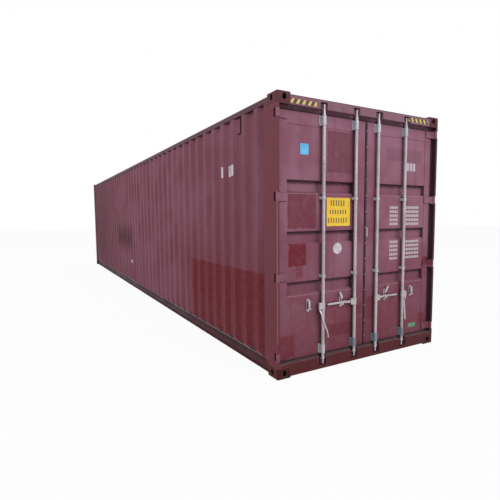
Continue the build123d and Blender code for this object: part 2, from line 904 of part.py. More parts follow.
def rod_brackets(hand):
    """End brackets and guides that carry a leaf's two lock rods."""
    plate_x = leaf_face + bracket_plate
    with BuildPart() as brackets:
        for rod_y, rod_hand in rod_rows:
            if rod_hand != hand:
                continue
            outer = abs(rod_y - seam_y) > inner_stile_width + seam_gap / 2 + guide_width
            guide_seat = panel_face if outer else leaf_face
            spans = []
            for low in (leaf_low + bracket_margin, leaf_high - bracket_margin - bracket_height):
                shape = (bracket_width, bracket_height, bracket_corner, boss_inset, leaf_face)
                spans.append((low, shape))
            for level in guide_levels:
                shape = (guide_width, guide_height, guide_corner, guide_inset, guide_seat)
                spans.append((level - guide_height / 2, shape))
            for low, (wide, high, corner, inset, seat) in spans:
                with BuildSketch(Plane.YZ.offset(seat)):
                    with Locations((rod_y, low + high / 2)):
                        RectangleRounded(wide, high, corner)
                extrude(amount=plate_x - seat)
                with BuildSketch(Plane.XY.offset(low + inset)):
                    outline(
                        [
                            (plate_x, rod_y - bracket_foot),
                            (rod_x, rod_y - bracket_boss),
                            (rod_x, rod_y + bracket_boss),
                            (plate_x, rod_y + bracket_foot),
                        ]
                    )
                    with Locations((rod_x, rod_y)):
                        Circle(bracket_boss)
                        Circle(rod_radius + rod_clearance, mode=Mode.SUBTRACT)
                extrude(amount=high - 2 * inset)
    return brackets.part


def handle_retainers(hand):
    """An oval eye plate, a cradle and a stud on the panel for each handle."""
    grip_x = rod_x - joggle_depth
    stud_end = grip_x + handle_thick / 2 + hasp_gap + hasp_thick + handle_play
    cradle_top = handle_level - handle_under - cradle_play
    plate_x = panel_face + retainer_plate
    with BuildPart() as retainers:
        for rod_y, rod_hand in rod_rows:
            if rod_hand != hand:
                continue
            middle = rod_y + hand * retainer_offset
            with BuildSketch(Plane.YZ.offset(panel_face)):
                with Locations((middle, (retainer_low + retainer_high) / 2)):
                    SlotOverall(retainer_high - retainer_low, retainer_width, rotation=90)
                with Locations((middle, retainer_eye_level)):
                    SlotOverall(
                        retainer_eye_height, retainer_eye_width, rotation=90, mode=Mode.SUBTRACT
                    )
            extrude(amount=retainer_plate)
            block(
                (plate_x, middle - retainer_width / 2, cradle_top - cradle_thick),
                (plate_x + cradle_depth, middle + retainer_width / 2, cradle_top),
            )
            with BuildSketch(Plane.YZ.offset(plate_x)):
                with Locations((middle, hasp_level)):
                    Circle(stud_radius)
            extrude(amount=stud_end - plate_x)
    return retainers.part


def cam_lobe(rod_y):
    """Outline of one lobe, which points inwards and a little to the left."""
    along = Vector(-cos(radians(cam_skew)), -sin(radians(cam_skew)))
    across = Vector(-along.Y, along.X)
    nose = along * (cam_reach - cam_nose)
    corners = [across * cam_nose, nose + across * cam_nose, nose - across * cam_nose, across * -cam_nose]
    outline([(rod_x + corner.X, rod_y + corner.Y) for corner in corners])
    with Locations((rod_x, rod_y)):
        Circle(cam_core)
    with Locations((rod_x + nose.X, rod_y + nose.Y)):
        Circle(cam_nose)


def rod_hub(rod_y, hand):
    """The clevis forging welded round the rod, with the handle's pin."""
    foot = handle_level - hub_height / 2
    slot_half = handle_thick / 2 + handle_play
    with BuildPart() as hub:
        with BuildSketch(Plane.XY.offset(foot)):
            with Locations((rod_x, rod_y)):
                Circle(hub_radius)
        extrude(amount=hub_height)
        with BuildSketch(Plane.YZ.offset(rod_x - hub_half)):
            with Locations((rod_y + hand * hub_reach / 2, handle_level)):
                RectangleRounded(hub_reach, hub_height, hub_corner)
        extrude(amount=2 * hub_half)
        low_y, high_y = sorted((rod_y + hand * (rod_radius + hub_web), rod_y + hand * hub_reach))
        block(
            (rod_x - slot_half, low_y, foot),
            (rod_x + slot_half, high_y, foot + hub_height),
            Mode.SUBTRACT,
        )
        with BuildSketch(Plane.XY.offset(foot)):
            with Locations((rod_x, rod_y)):
                Circle(rod_radius)
        extrude(amount=hub_height, mode=Mode.SUBTRACT)
        with BuildSketch(Plane.YZ.offset(rod_x - hub_half - pivot_stand)):
            with Locations((rod_y + hand * pivot_offset, handle_level)):
                Circle(pivot_radius)
        extrude(amount=2 * (hub_half + pivot_stand))
    return hub.part


def lock_rod(rod_y, hand):
    """A tube with a forged cam welded into each end and a hub for its handle."""
    with BuildPart() as tube:
        with BuildSketch(Plane.XY.offset(rod_foot)):
            with Locations((rod_x, rod_y)):
                Circle(rod_radius)
                Circle(rod_bore, mode=Mode.SUBTRACT)
        extrude(amount=rod_top - rod_foot)
    with BuildPart() as low_cam:
        with BuildSketch(Plane.XY.offset(cam_low)):
            with Locations((rod_x, rod_y)):
                Circle(cam_core)
        extrude(amount=rod_foot - cam_low)
        with BuildSketch(Plane.XY.offset(rod_foot - collar_height)):
            with Locations((rod_x, rod_y)):
                Circle(collar_radius)
        extrude(amount=collar_height)
        for foot in (keeper_feet[0], keeper_feet[0] + lobe_height + lobe_gap):
            with BuildSketch(Plane.XY.offset(foot)):
                cam_lobe(rod_y)
            extrude(amount=lobe_height)
    with BuildPart() as top_cam:
        with Locations((rod_x, rod_y, rod_top + neck_height / 2)):
            Cone(rod_radius, cam_core, neck_height)
        with BuildSketch(Plane.XY.offset(rod_top + neck_height)):
            with Locations((rod_x, rod_y)):
                Circle(cam_core)
        extrude(amount=cam_high - rod_top - neck_height)
        for foot in (keeper_feet[1], keeper_feet[1] + lobe_height + lobe_gap):
            with BuildSketch(Plane.XY.offset(foot)):
                cam_lobe(rod_y)
            extrude(amount=lobe_height)
    pieces = [tube.part, low_cam.part, top_cam.part, rod_hub(rod_y, hand)]
    return Compound([solid for piece in pieces for solid in piece.solids()])


def handle(rod_y, hand, lean):
    """A flat joggled bar that pivots in the rod's hub; lean is its angle from hanging."""
    pivot = (rod_x, rod_y + hand * pivot_offset, handle_level)
    reach = (0, hand * sin(radians(lean)), -cos(radians(lean)))
    normal = Vector(*reach).cross(Vector(1, 0, 0))
    half = handle_thick / 2
    joggle_end = joggle_start + joggle_run
    tip_radius = (handle_tip_over + handle_under) / 2
    tip = handle_length - tip_radius
    with BuildPart() as bar:
        with BuildSketch(Plane(origin=pivot, x_dir=reach, z_dir=normal)):
            outline(
                [
                    (0, half),
                    (joggle_start, half),
                    (joggle_end, half - joggle_depth),
                    (handle_length, half - joggle_depth),
                    (handle_length, -half - joggle_depth),
                    (joggle_end, -half - joggle_depth),
                    (joggle_start, -half),
                    (0, -half),
                ]
            )
        extrude(amount=handle_over, both=True)
        with BuildSketch(Plane(origin=pivot, x_dir=reach, z_dir=(1, 0, 0))):
            outline(
                [
                    (0, -hand * handle_under),
                    (0, hand * handle_over),
                    (tip, hand * handle_tip_over),
                    (tip, -hand * handle_under),
                ]
            )
            with Locations((tip, hand * (tip_radius - handle_under))):
                Circle(tip_radius)
        extrude(amount=joggle_depth + handle_thick, both=True, mode=Mode.INTERSECT)
        with BuildSketch(Plane.YZ.offset(rod_x - half)):
            with Locations(pivot[1:]):
                Circle(handle_root)
        extrude(amount=handle_thick)
        with BuildSketch(Plane.YZ.offset(rod_x - half)):
            with Locations(pivot[1:]):
                Circle(pivot_radius + pin_clearance)
        extrude(amount=handle_thick, mode=Mode.SUBTRACT)
    return bar.part


def bent_handle(rod_y, hand):
    """The hanging handle that has been bent forward and across in front of its rod."""
    pivot_y = rod_y + hand * pivot_offset
    half = handle_thick / 2
    back_x = rod_x + rod_radius + bend_gap
    start = handle_level - bend_start
    end = start - bend_run
    tip = handle_level + bend_path[-1][1]
    edges = []
    for side in (-1, 1):
        edges.append([(pivot_y + y + side * wide, handle_level + z) for y, z, wide in bend_path])
    with BuildPart() as bar:
        with BuildSketch(Plane.YZ.offset(rod_x - half)):
            with BuildLine():
                left = Spline(*edges[0])
                right = Spline(*edges[1])
                Line(left @ 0, right @ 0)
                Line(left @ 1, right @ 1)
            make_face()
        extrude(amount=back_x + bend_thick - rod_x + half)
        with BuildSketch(Plane.XZ.offset(-pivot_y)):
            outline(
                [
                    (rod_x - half, handle_level),
                    (rod_x + half, handle_level),
                    (rod_x + half, start),
                    (back_x + bend_thick, end),
                    (back_x + bend_thick, tip),
                    (back_x, tip),
                    (back_x, end),
                    (rod_x - half, start),
                ]
            )
        extrude(amount=handle_length, both=True, mode=Mode.INTERSECT)
        with BuildSketch(Plane.YZ.offset(rod_x - half)):
            with Locations((pivot_y, handle_level)):
                Circle(handle_root)
        extrude(amount=handle_thick)
        with BuildSketch(Plane.YZ.offset(rod_x - half)):
            with Locations((pivot_y, handle_level)):
                Circle(pivot_radius + pin_clearance)
        extrude(amount=handle_thick, mode=Mode.SUBTRACT)
    return bar.part


def hasp(rod_y, hand, raised):
    """The swinging plate that drops over a handle in its cradle."""
    middle = rod_y + hand * retainer_offset
    back_x = rod_x - joggle_depth + handle_thick / 2 + hasp_gap
    reach = (0, hand * sin(radians(raised)), -cos(radians(raised)))
    with BuildPart() as plate:
        with BuildSketch(Plane(origin=(back_x, middle, hasp_level), x_dir=reach, z_dir=(1, 0, 0))):
            with Locations((hasp_length / 2 - hasp_width / 2, 0)):
                SlotOverall(hasp_length, hasp_width)
            Circle(stud_radius + pin_clearance, mode=Mode.SUBTRACT)
        extrude(amount=hasp_thick)
    return plate.part


for hand, side in ((-1, "left"), (1, "right")):
    save(leaf_frame(hand), f"{side}_door_frame")
    save(leaf_panel(hand), f"{side}_door_panel")
    save(leaf_gasket(hand), f"{side}_door_gasket")
    save(hinge_blades(hand), f"{side}_hinge_blades")
    save(rod_brackets(hand), f"{side}_rod_brackets")
    save(handle_retainers(hand), f"{side}_handle_retainers")
    for offset, place in ((rod_outer_offset, "outer"), (rod_inner_offset, "inner")):
        rod_y = seam_y + hand * offset
        hanging = place == "outer"
        save(lock_rod(rod_y, hand), f"{side}_{place}_rod")
        if hanging and side == "left":
            save(bent_handle(rod_y, hand), f"{side}_{place}_handle")
        else:
            save(handle(rod_y, hand, handle_lean if hanging else 90), f"{side}_{place}_handle")
        save(hasp(rod_y, hand, 0.0 if hanging else hasp_raised), f"{side}_{place}_hasp")
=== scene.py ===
# %% [markdown]
# # A weathered forty-foot shipping container
# The steel frame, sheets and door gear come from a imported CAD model, which this script
# loads as it is. What Blender adds is the look: faded paint, dull zinc, rubber seals, bolts,
# welds, signs, painted marks, and a closing strip at each front post. Each step says what
# the piece is on the real container, how it could be made, and why this way was chosen.
# Lengths are in metres.

# %% Load the frame and keep its box
import json
from math import pi, radians

import bmesh
import bpy
from mathutils import Matrix, Vector


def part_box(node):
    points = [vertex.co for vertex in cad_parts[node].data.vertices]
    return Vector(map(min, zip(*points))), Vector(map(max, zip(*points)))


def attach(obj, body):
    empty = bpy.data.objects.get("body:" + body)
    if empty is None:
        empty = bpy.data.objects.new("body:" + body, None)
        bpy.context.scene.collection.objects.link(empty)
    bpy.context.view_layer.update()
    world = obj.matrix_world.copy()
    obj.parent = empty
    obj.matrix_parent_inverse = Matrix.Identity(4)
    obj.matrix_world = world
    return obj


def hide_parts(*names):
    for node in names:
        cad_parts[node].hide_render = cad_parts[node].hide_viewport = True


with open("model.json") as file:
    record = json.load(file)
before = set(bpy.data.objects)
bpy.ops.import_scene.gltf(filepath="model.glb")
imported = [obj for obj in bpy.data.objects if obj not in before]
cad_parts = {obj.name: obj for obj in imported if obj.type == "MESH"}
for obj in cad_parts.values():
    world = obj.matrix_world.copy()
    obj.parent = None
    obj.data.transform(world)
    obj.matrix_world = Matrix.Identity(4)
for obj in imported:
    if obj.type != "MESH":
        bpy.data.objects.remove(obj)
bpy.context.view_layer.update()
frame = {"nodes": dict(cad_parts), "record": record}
nodes = frame["nodes"]
scene = bpy.context.scene
scene.view_settings.view_transform = "Standard"

# %% [markdown]
# The camera stands off the rear left corner at about eye height, where a person would
# stand to see the doors and one long side. Its place and lens were worked out from the
# container's known size and the picture's corners. A lens this wide makes the far end
# small, which is most of what makes the container look long.

# %% Set up the camera
AZIMUTH = radians(60.66)
ELEVATION = radians(4.75)
ROLL = radians(-0.51)
CAMERA_PLACE = (9.347, -3.356, 1.669)
SENSOR = 36.0
LENS = 28.25

turn = Matrix.Rotation(AZIMUTH, 4, "Z") @ Matrix.Rotation(pi / 2 - ELEVATION, 4, "X")
turn = turn @ Matrix.Rotation(ROLL, 4, "Z")
eye = bpy.data.cameras.new("camera")
eye.sensor_width = SENSOR
eye.lens = LENS
eye.clip_end = 200.0
camera = bpy.data.objects.new("camera", eye)
camera.matrix_world = Matrix.Translation(CAMERA_PLACE) @ turn
scene.collection.objects.link(camera)
scene.camera = camera
print("camera at", CAMERA_PLACE, "lens", LENS)

# %% [markdown]
# The stage is one pale floor under a pale world. The floor shows nearly white to the
# camera and to reflections, yet it bounces less light than it shows, so the undersides
# of edges stay dark as they do over tarmac. It is given a shader of two parts for that:
# one that is seen, and one that lights.

# %% Lay the floor
FLOOR_REACH = 60.0
SEEN_WHITE = 1.03
SEEN_SHARE = 0.92
FLOOR_GREY = 0.42


def new_tree(block):
    """Empty a material's or a world's node tree and hand it back."""
    block.use_nodes = True
    block.node_tree.nodes.clear()
    return block.node_tree


def seen_directly(tree):
    """1 for rays that see the surface: from the camera, in a reflection or through glass."""
    path = tree.nodes.new("ShaderNodeLightPath")
    total = path.outputs["Is Camera Ray"]
    for ray in ("Is Glossy Ray", "Is Transmission Ray"):
        both = tree.nodes.new("ShaderNodeMath")
        both.operation = "MAXIMUM"
        tree.links.new(total, both.inputs[0])
        tree.links.new(path.outputs[ray], both.inputs[1])
        total = both.outputs[0]
    return total


bpy.ops.object.select_all(action="DESELECT")
bpy.ops.mesh.primitive_plane_add(size=FLOOR_REACH * 2)
floor = bpy.context.object
floor.name = "floor"
floor_finish = bpy.data.materials.new("pale_floor")
tree = new_tree(floor_finish)
matte = tree.nodes.new("ShaderNodeBsdfDiffuse")
matte.inputs["Color"].default_value = (FLOOR_GREY, FLOOR_GREY, FLOOR_GREY, 1)
shown = tree.nodes.new("ShaderNodeEmission")
shown.inputs["Color"].default_value = (SEEN_WHITE, SEEN_WHITE, SEEN_WHITE, 1)
share = tree.nodes.new("ShaderNodeMath")
share.operation = "MULTIPLY"
share.inputs[1].default_value = SEEN_SHARE
blend = tree.nodes.new("ShaderNodeMixShader")
surface = tree.nodes.new("ShaderNodeOutputMaterial")
tree.links.new(seen_directly(tree), share.inputs[0])
tree.links.new(share.outputs[0], blend.inputs[0])
tree.links.new(matte.outputs[0], blend.inputs[1])
tree.links.new(shown.outputs[0], blend.inputs[2])
tree.links.new(blend.outputs[0], surface.inputs["Surface"])
floor.data.materials.append(floor_finish)
print("floor reaches", FLOOR_REACH, "m each way")

# %% [markdown]
# Outdoors much of the light comes from the whole sky, and it is a little blue. The world
# lights the container like that, but it is plain white where it is seen, so that nothing
# stands behind the container.

# %% Fill the world with soft light
SKY_TINT = (0.93, 0.96, 1.0, 1)
SKY_STRENGTH = 0.64
world = bpy.data.worlds.new("soft_sky")
scene.world = world
tree = new_tree(world)
sky = tree.nodes.new("ShaderNodeBackground")
sky.inputs["Color"].default_value = SKY_TINT
sky.inputs["Strength"].default_value = SKY_STRENGTH
white = tree.nodes.new("ShaderNodeBackground")
white.inputs["Color"].default_value = (1.0, 1.0, 1.0, 1)
mix = tree.nodes.new("ShaderNodeMixShader")
out = tree.nodes.new("ShaderNodeOutputWorld")
tree.links.new(seen_directly(tree), mix.inputs[0])
tree.links.new(sky.outputs[0], mix.inputs[1])
tree.links.new(white.outputs[0], mix.inputs[2])
tree.links.new(mix.outputs[0], out.inputs["Surface"])
print("sky strength", SKY_STRENGTH)

# %% [markdown]
# Three large soft lamps do the modelling. The main one stands high off the doors, so the
# rear face is a little lighter than the long side, and each ledge and bracket throws a
# short soft shadow downwards. The second one stands off the long side, and the third one
# keeps the far side from going dull when the container is looked at from there.

# %% Hang the lamps
LAMPS = {
    "door_lamp": {"place": (13.0, 1.5, 8.5), "aim": (6.0, 0.0, 1.2), "size": 9.0, "watts": 540.0},
    "side_lamp": {"place": (2.0, -12.0, 9.0), "aim": (0.5, -1.2, 1.2), "size": 12.0, "watts": 790.0},
    "far_lamp": {"place": (-9.0, 9.0, 9.0), "aim": (-1.0, 1.2, 1.2), "size": 12.0, "watts": 580.0},
}
for name, lamp in LAMPS.items():
    light = bpy.data.lights.new(name, "AREA")
    light.shape = "DISK"
    light.size = lamp["size"]
    light.energy = lamp["watts"]
    holder = bpy.data.objects.new(name, light)
    holder.location = lamp["place"]
    aim = Vector(lamp["aim"]) - Vector(lamp["place"])
    holder.rotation_euler = aim.to_track_quat("-Z", "Y").to_euler()
    scene.collection.objects.link(holder)
print("lamps", list(LAMPS))

# %% [markdown]
# Every finish below is made of a few ideas that repeat: a colour as it looks on a screen,
# a cloudy noise, a soft step, a blend of two colours, and a soft-edged area on the object.
# Each gets a small helper, so that a material later reads like a recipe. All patterns use
# Object coordinates, which here are metres in the container's own frame, and so a repainted
# patch can be placed by its real position on the door.

# %% Name the shader helpers
def rgb(red, green, blue):
    """A screen colour from 0 to 255, as the linear light that a shader works with."""
    linear = []
    for value in (red / 255, green / 255, blue / 255):
        linear.append(value / 12.92 if value <= 0.04045 else ((value + 0.055) / 1.055) ** 2.4)
    return (*linear, 1.0)


def join(tree, value, socket):
    """Wire an output to a socket, or set a plain number, vector or colour on it."""
    if isinstance(value, bpy.types.NodeSocket):
        tree.links.new(value, socket)
    else:
        socket.default_value = value


def sums(tree, kind, first, second=0.0):
    """One step of arithmetic."""
    made = tree.nodes.new("ShaderNodeMath")
    made.operation = kind
    join(tree, first, made.inputs[0])
    join(tree, second, made.inputs[1])
    return made.outputs[0]


def ease(tree, value, low, high, floor_value=0.0, top_value=1.0):
    """A soft step from one value to another as the input goes from low to high."""
    made = tree.nodes.new("ShaderNodeMapRange")
    made.interpolation_type = "SMOOTHSTEP"
    join(tree, value, made.inputs["Value"])
    sockets = ("From Min", "From Max", "To Min", "To Max")
    for socket, number in zip(sockets, (low, high, floor_value, top_value)):
        made.inputs[socket].default_value = number
    return made.outputs[0]


def blended(tree, share, first, second):
    """Mix two colours."""
    made = tree.nodes.new("ShaderNodeMix")
    made.data_type = "RGBA"
    join(tree, share, made.inputs[0])
    join(tree, first, made.inputs[6])
    join(tree, second, made.inputs[7])
    return made.outputs[2]


def mottle(tree, place, size, detail=4.0, stretch=(1, 1, 1), rough=0.55):
    """Cloudy noise whose clouds are about size metres across."""
    pulled = tree.nodes.new("ShaderNodeVectorMath")
    pulled.operation = "MULTIPLY"
    join(tree, place, pulled.inputs[0])
    pulled.inputs[1].default_value = stretch
    made = tree.nodes.new("ShaderNodeTexNoise")
    join(tree, pulled.outputs[0], made.inputs["Vector"])
    made.inputs["Scale"].default_value = 1 / size
    made.inputs["Detail"].default_value = detail
    made.inputs["Roughness"].default_value = rough
    return made.outputs[0]


def area(tree, axes, low, high, edge=0.01):
    """1 inside a box on the object, 0 outside. None leaves an axis free."""
    inside = None
    for axis, first, last in zip(axes, low, high):
        if first is None:
            continue
        away = sums(tree, "ABSOLUTE", sums(tree, "SUBTRACT", axis, (first + last) / 2))
        half = (last - first) / 2
        within = ease(tree, away, half + edge, half - edge)
        inside = within if inside is None else sums(tree, "MULTIPLY", inside, within)
    return inside


def looking(tree, direction):
    """1 on faces that look along a direction of the object, so that paint stays on one side."""
    facing = tree.nodes.new("ShaderNodeVectorMath")
    facing.operation = "DOT_PRODUCT"
    tree.links.new(tree.nodes.new("ShaderNodeTexCoord").outputs["Normal"], facing.inputs[0])
    facing.inputs[1].default_value = direction
    return ease(tree, facing.outputs["Value"], 0.05, 0.20)


def bumped(tree, height, depth, under=None):
    """Turn a height into a bent normal, on top of another one if there is one."""
    made = tree.nodes.new("ShaderNodeBump")
    made.inputs["Distance"].default_value = depth
    join(tree, height, made.inputs["Height"])
    if under is not None:
        tree.links.new(under, made.inputs["Normal"])
    return made.outputs[0]


print("white is", rgb(255, 255, 255))

# %% [markdown]
# Old paint is never one colour. Sun bleaches it in broad clouds, rain pulls stains down it
# in long streaks, edges rub through, and dirt stays in the corners. The same recipe serves
# every painted part: a cloud between two shades, streaks stretched along the height, a list
# of placed patches, a rubbed edge from the Bevel node, a darkening from Ambient Occlusion
# that is partly dirt and partly painted shade in corners and under ledges, and specks of
# rust. Bump adds the sheet's soft dents and the brush and roller texture. Old paint is
# chalky, so its specular level is low, or a pale floor would grey it at a flat angle. An
# image could hold all this too, but noise has no seams and stays sharp close up.

# %% Start a finish and find its worn edges and corners
def new_finish(name):
    """A material with a Principled shader, its Object coordinates and their three axes."""
    finish = bpy.data.materials.new(name)
    tree = new_tree(finish)
    shader = tree.nodes.new("ShaderNodeBsdfPrincipled")
    surface = tree.nodes.new("ShaderNodeOutputMaterial")
    tree.links.new(shader.outputs[0], surface.inputs["Surface"])
    place = tree.nodes.new("ShaderNodeTexCoord").outputs["Object"]
    split = tree.nodes.new("ShaderNodeSeparateXYZ")
    tree.links.new(place, split.inputs[0])
    return finish, tree, shader, place, list(split.outputs)


def shader_of(finish):
    """The Principled shader of a finish."""
    return next(item for item in finish.node_tree.nodes if item.type == "BSDF_PRINCIPLED")


def rubbed(tree, reach):
    """1 along sharp edges, where paint wears through first."""
    soft = tree.nodes.new("ShaderNodeBevel")
    soft.samples = 4
    soft.inputs["Radius"].default_value = reach
    flat = tree.nodes.new("ShaderNodeNewGeometry")
    facing = tree.nodes.new("ShaderNodeVectorMath")
    facing.operation = "DOT_PRODUCT"
    tree.links.new(soft.outputs[0], facing.inputs[0])
    tree.links.new(flat.outputs["Normal"], facing.inputs[1])
    return ease(tree, facing.outputs["Value"], 0.97, 0.80)


def corners(tree, reach):
    """1 deep in corners and under ledges, for a darkening that is partly dirt and partly painted shade."""
    shade = tree.nodes.new("ShaderNodeAmbientOcclusion")
    shade.samples = 6
    shade.inputs["Distance"].default_value = reach
    return ease(tree, shade.outputs["AO"], 0.85, 0.20)


print("finish helpers ready")

# %% Write the recipe for weathered paint
RUST = rgb(96, 58, 44)
WORN_EDGE = rgb(128, 112, 110)
# The colour below darkens corners and the space under ledges: partly dirt, partly painted shade.
GRIME_AND_SHADE = rgb(52, 38, 44)
CLOUD_SIZE = 0.9
STREAK_WIDTH = 0.10
STREAK_PULL = (1, 1, 0.07)
RAGGED_SIZE = 0.06
RAGGED_REACH = 0.03
CRISP = 0.005
DIRT_AND_SHADE_REACH = 0.14
CHIP_SIZE = 0.025
CHIP_DEPTH = 0.0008
DENT_SIZE = 0.55
PEEL_SIZE = 0.008
PEEL_DEPTH = 0.0004
PAINT_SHEEN = 0.14


def weathered_paint(
    name, fresh, bleached, stained, patches=(), side=None, wear=0.5, edge=0.006, dents=0.003, dirt_and_shade=0.6
):
    """Old container paint.

    A patch is low, high, colour, strength and softness. If a side is given, patches show only
    on faces that look that way. A patch as soft as CRISP or softer gets a ragged edge.
    """
    finish, tree, shader, place, axes = new_finish(name)
    clouds = mottle(tree, place, CLOUD_SIZE, 6.0, rough=0.62)
    colour = blended(tree, ease(tree, clouds, 0.38, 0.62), fresh, bleached)
    streaks = mottle(tree, place, STREAK_WIDTH, 5.0, stretch=STREAK_PULL)
    colour = blended(tree, ease(tree, streaks, 0.50, 0.78, 0.0, 0.42), colour, stained)
    jitter = mottle(tree, place, RAGGED_SIZE, 3.0)
    loose = sums(tree, "MULTIPLY", sums(tree, "SUBTRACT", jitter, 0.5), RAGGED_REACH)
    ragged = [sums(tree, "ADD", axis, loose) for axis in axes]
    patchy = ease(tree, jitter, 0.25, 0.60, 0.70, 1.0)
    if side is not None:
        patchy = sums(tree, "MULTIPLY", patchy, looking(tree, side))
    for low, high, tint, strength, softness in patches:
        covered = area(tree, axes if softness < CRISP else ragged, low, high, softness)
        share = sums(tree, "MULTIPLY", sums(tree, "MULTIPLY", covered, patchy), strength)
        colour = blended(tree, share, colour, tint)
    # Corners and the space under ledges are darkened here, partly as dirt and partly as painted shade.
    colour = blended(tree, sums(tree, "MULTIPLY", corners(tree, DIRT_AND_SHADE_REACH), dirt_and_shade), colour, GRIME_AND_SHADE)
    fine = mottle(tree, place, CHIP_SIZE, 8.0, rough=0.7)
    worn = sums(tree, "MULTIPLY", rubbed(tree, edge), ease(tree, fine, 0.40, 0.62, 0.0, wear))
    colour = blended(tree, worn, colour, WORN_EDGE)
    specks = sums(tree, "MULTIPLY", ease(tree, fine, 0.66, 0.72), ease(tree, streaks, 0.45, 0.7))
    colour = blended(tree, sums(tree, "MULTIPLY", specks, 0.7), colour, RUST)
    tree.links.new(colour, shader.inputs["Base Color"])
    tree.links.new(ease(tree, clouds, 0.3, 0.7, 0.50, 0.72), shader.inputs["Roughness"])
    shader.inputs["Specular IOR Level"].default_value = PAINT_SHEEN
    sheet = bumped(tree, mottle(tree, place, DENT_SIZE, 2.0), dents)
    peel = bumped(tree, mottle(tree, place, PEEL_SIZE, 2.0), PEEL_DEPTH, sheet)
    tree.links.new(bumped(tree, fine, CHIP_DEPTH, peel), shader.inputs["Normal"])
    return finish


print("paint recipe ready")

# %% [markdown]
# The shell is the corrugated sheet of the two sides, the front and the roof. Near the doors
# the lower left side was painted over in a redder brown with a crisp edge, further on there
# is a dark stain, and three plain pale blocks are stencilled high up near the doors. Each
# mark is a run along the container and a run up it, held to the left half, so that the far
# side keeps the plain paint.

# %% Paint the corrugated shell
LEFT_SIDE = (0, -1, 0)
LEFT_HALF = (-2.0, 0.0)
REPAIR_RED = rgb(106, 32, 34)
CHALK = rgb(214, 206, 210)
SIDE_MARKS = {
    # The darker front end is partly dirt and partly painted shade.
    "front end darkened by dirt and painted shade": ((-6.4, -3.0), (-0.2, 3.0), rgb(91, 49, 62), 0.75, 1.5),
    "red haze over the repair": ((3.20, 6.4), (0.5, 1.45), rgb(112, 51, 57), 0.55, 0.45),
    "painted repair": ((3.66, 6.2), (-0.2, 1.06), REPAIR_RED, 0.80, 0.015),
    "dark stain": ((-1.9, -0.25), (0.95, 1.42), rgb(70, 36, 44), 0.80, 0.25),
    "chalk smear": ((-0.42, -0.30), (0.60, 0.66), CHALK, 0.7, 0.02),
    # A painted highlight along the foot of the sheet.
    "painted highlight at the foot of the sheet": ((-6.2, 6.2), (0.172, 0.190), rgb(150, 116, 124), 0.40, 0.004),
}
BLOCK_HALF = 0.027
BLOCK_HEIGHT = (2.165, 2.296)
for block_x in (4.841, 4.980, 5.119):
    block_run = (block_x - BLOCK_HALF, block_x + BLOCK_HALF)
    SIDE_MARKS[f"block at {block_x} m"] = (block_run, BLOCK_HEIGHT, CHALK, 0.95, 0.004)
side_patches = []
for along, up, *look in SIDE_MARKS.values():
    side_patches.append(((along[0], LEFT_HALF[0], up[0]), (along[1], LEFT_HALF[1], up[1]), *look))
shell_paint = weathered_paint(
    "shell_paint", rgb(118, 66, 80), rgb(132, 82, 98), rgb(94, 44, 52), side_patches,
    side=LEFT_SIDE, wear=0.2, dents=0.006
)
print("side marks", list(SIDE_MARKS))

# %% [markdown]
# The doors have the most stories on them. Here and there a rectangle was painted over, each
# a little fresher and redder than the bleached paint round it. A painted shadow darkens a
# line under the ledge of each level groove, and a painted highlight lightens its lower
# edge. The pale marks in stencil paint are four tables of small dashes, and a row of four
# blocks above them.

# %% Paint the doors
REAR_SIDE = (1, 0, 0)
DOOR_RED = rgb(115, 31, 41)
PANEL_RED = rgb(116, 52, 66)
TOUCH_UP = rgb(110, 48, 59)
DOOR_MARKS = {
    "redder lower part": ((-1.4, 1.4), (-0.3, 0.9), rgb(118, 51, 64), 0.75, 0.70),
    "large upper repaint": ((-0.530, -0.155), (2.150, 2.590), rgb(114, 63, 76), 0.80, 0.006),
    "repaint beside the hinge": ((-1.049, -0.682), (1.550, 1.932), PANEL_RED, 0.85, 0.006),
    "bright red square": ((-1.038, -0.812), (1.156, 1.392), DOOR_RED, 0.90, 0.008),
    "run under the square": ((-0.945, -0.855), (1.035, 1.160), DOOR_RED, 0.50, 0.025),
    "left foot corner": ((-1.170, -0.968), (0.200, 0.430), DOOR_RED, 0.60, 0.020),
    "low repaint": ((-0.512, -0.136), (0.330, 0.470), rgb(108, 44, 55), 0.65, 0.012),
    "left touch up at the seam": ((-0.112, -0.005), (0.530, 0.665), TOUCH_UP, 0.70, 0.010),
    "right touch up at the seam": ((0.064, 0.187), (0.450, 0.722), TOUCH_UP, 0.65, 0.010),
    "scraped spot at the seam": ((0.036, 0.082), (1.435, 1.540), rgb(190, 168, 172), 0.85, 0.004),
    "right foot corner": ((1.010, 1.130), (0.270, 0.415), DOOR_RED, 0.60, 0.020),
    "red hinge": ((1.060, 1.300), (1.030, 1.140), rgb(106, 32, 42), 0.85, 0.015),
    "duller upper band": ((0.373, 1.000), (2.330, 2.480), rgb(120, 80, 93), 0.45, 0.020),
}
door_patches = []
for across, up, *look in DOOR_MARKS.values():
    door_patches.append(((None, across[0], up[0]), (None, across[1], up[1]), *look))

GROOVE_FEET = (1.913, 1.398, 0.842)
GROOVE_TOPS = (2.050, 1.520, 0.990)
PANELS = ((-1.060, -0.145), (0.193, 1.060))
PANEL_DEPTH = (6.020, 6.04)
GROOVE_DEPTH = (5.98, 6.027)
# The pale line along each groove's lower edge is a painted highlight, and the dark line under its upper
# ledge is a painted shadow.
GROOVE_HIGHLIGHT_LINE = (-0.007, 0.003)
GROOVE_SHADOW_LINE = (-0.036, 0.004)
# A painted highlight along the lower edge of each groove.
for groove_foot in GROOVE_FEET:
    for low_y, high_y in PANELS:
        low = (PANEL_DEPTH[0], low_y, groove_foot + GROOVE_HIGHLIGHT_LINE[0])
        high = (PANEL_DEPTH[1], high_y, groove_foot + GROOVE_HIGHLIGHT_LINE[1])
        door_patches.append((low, high, rgb(167, 131, 142), 0.60, 0.003))
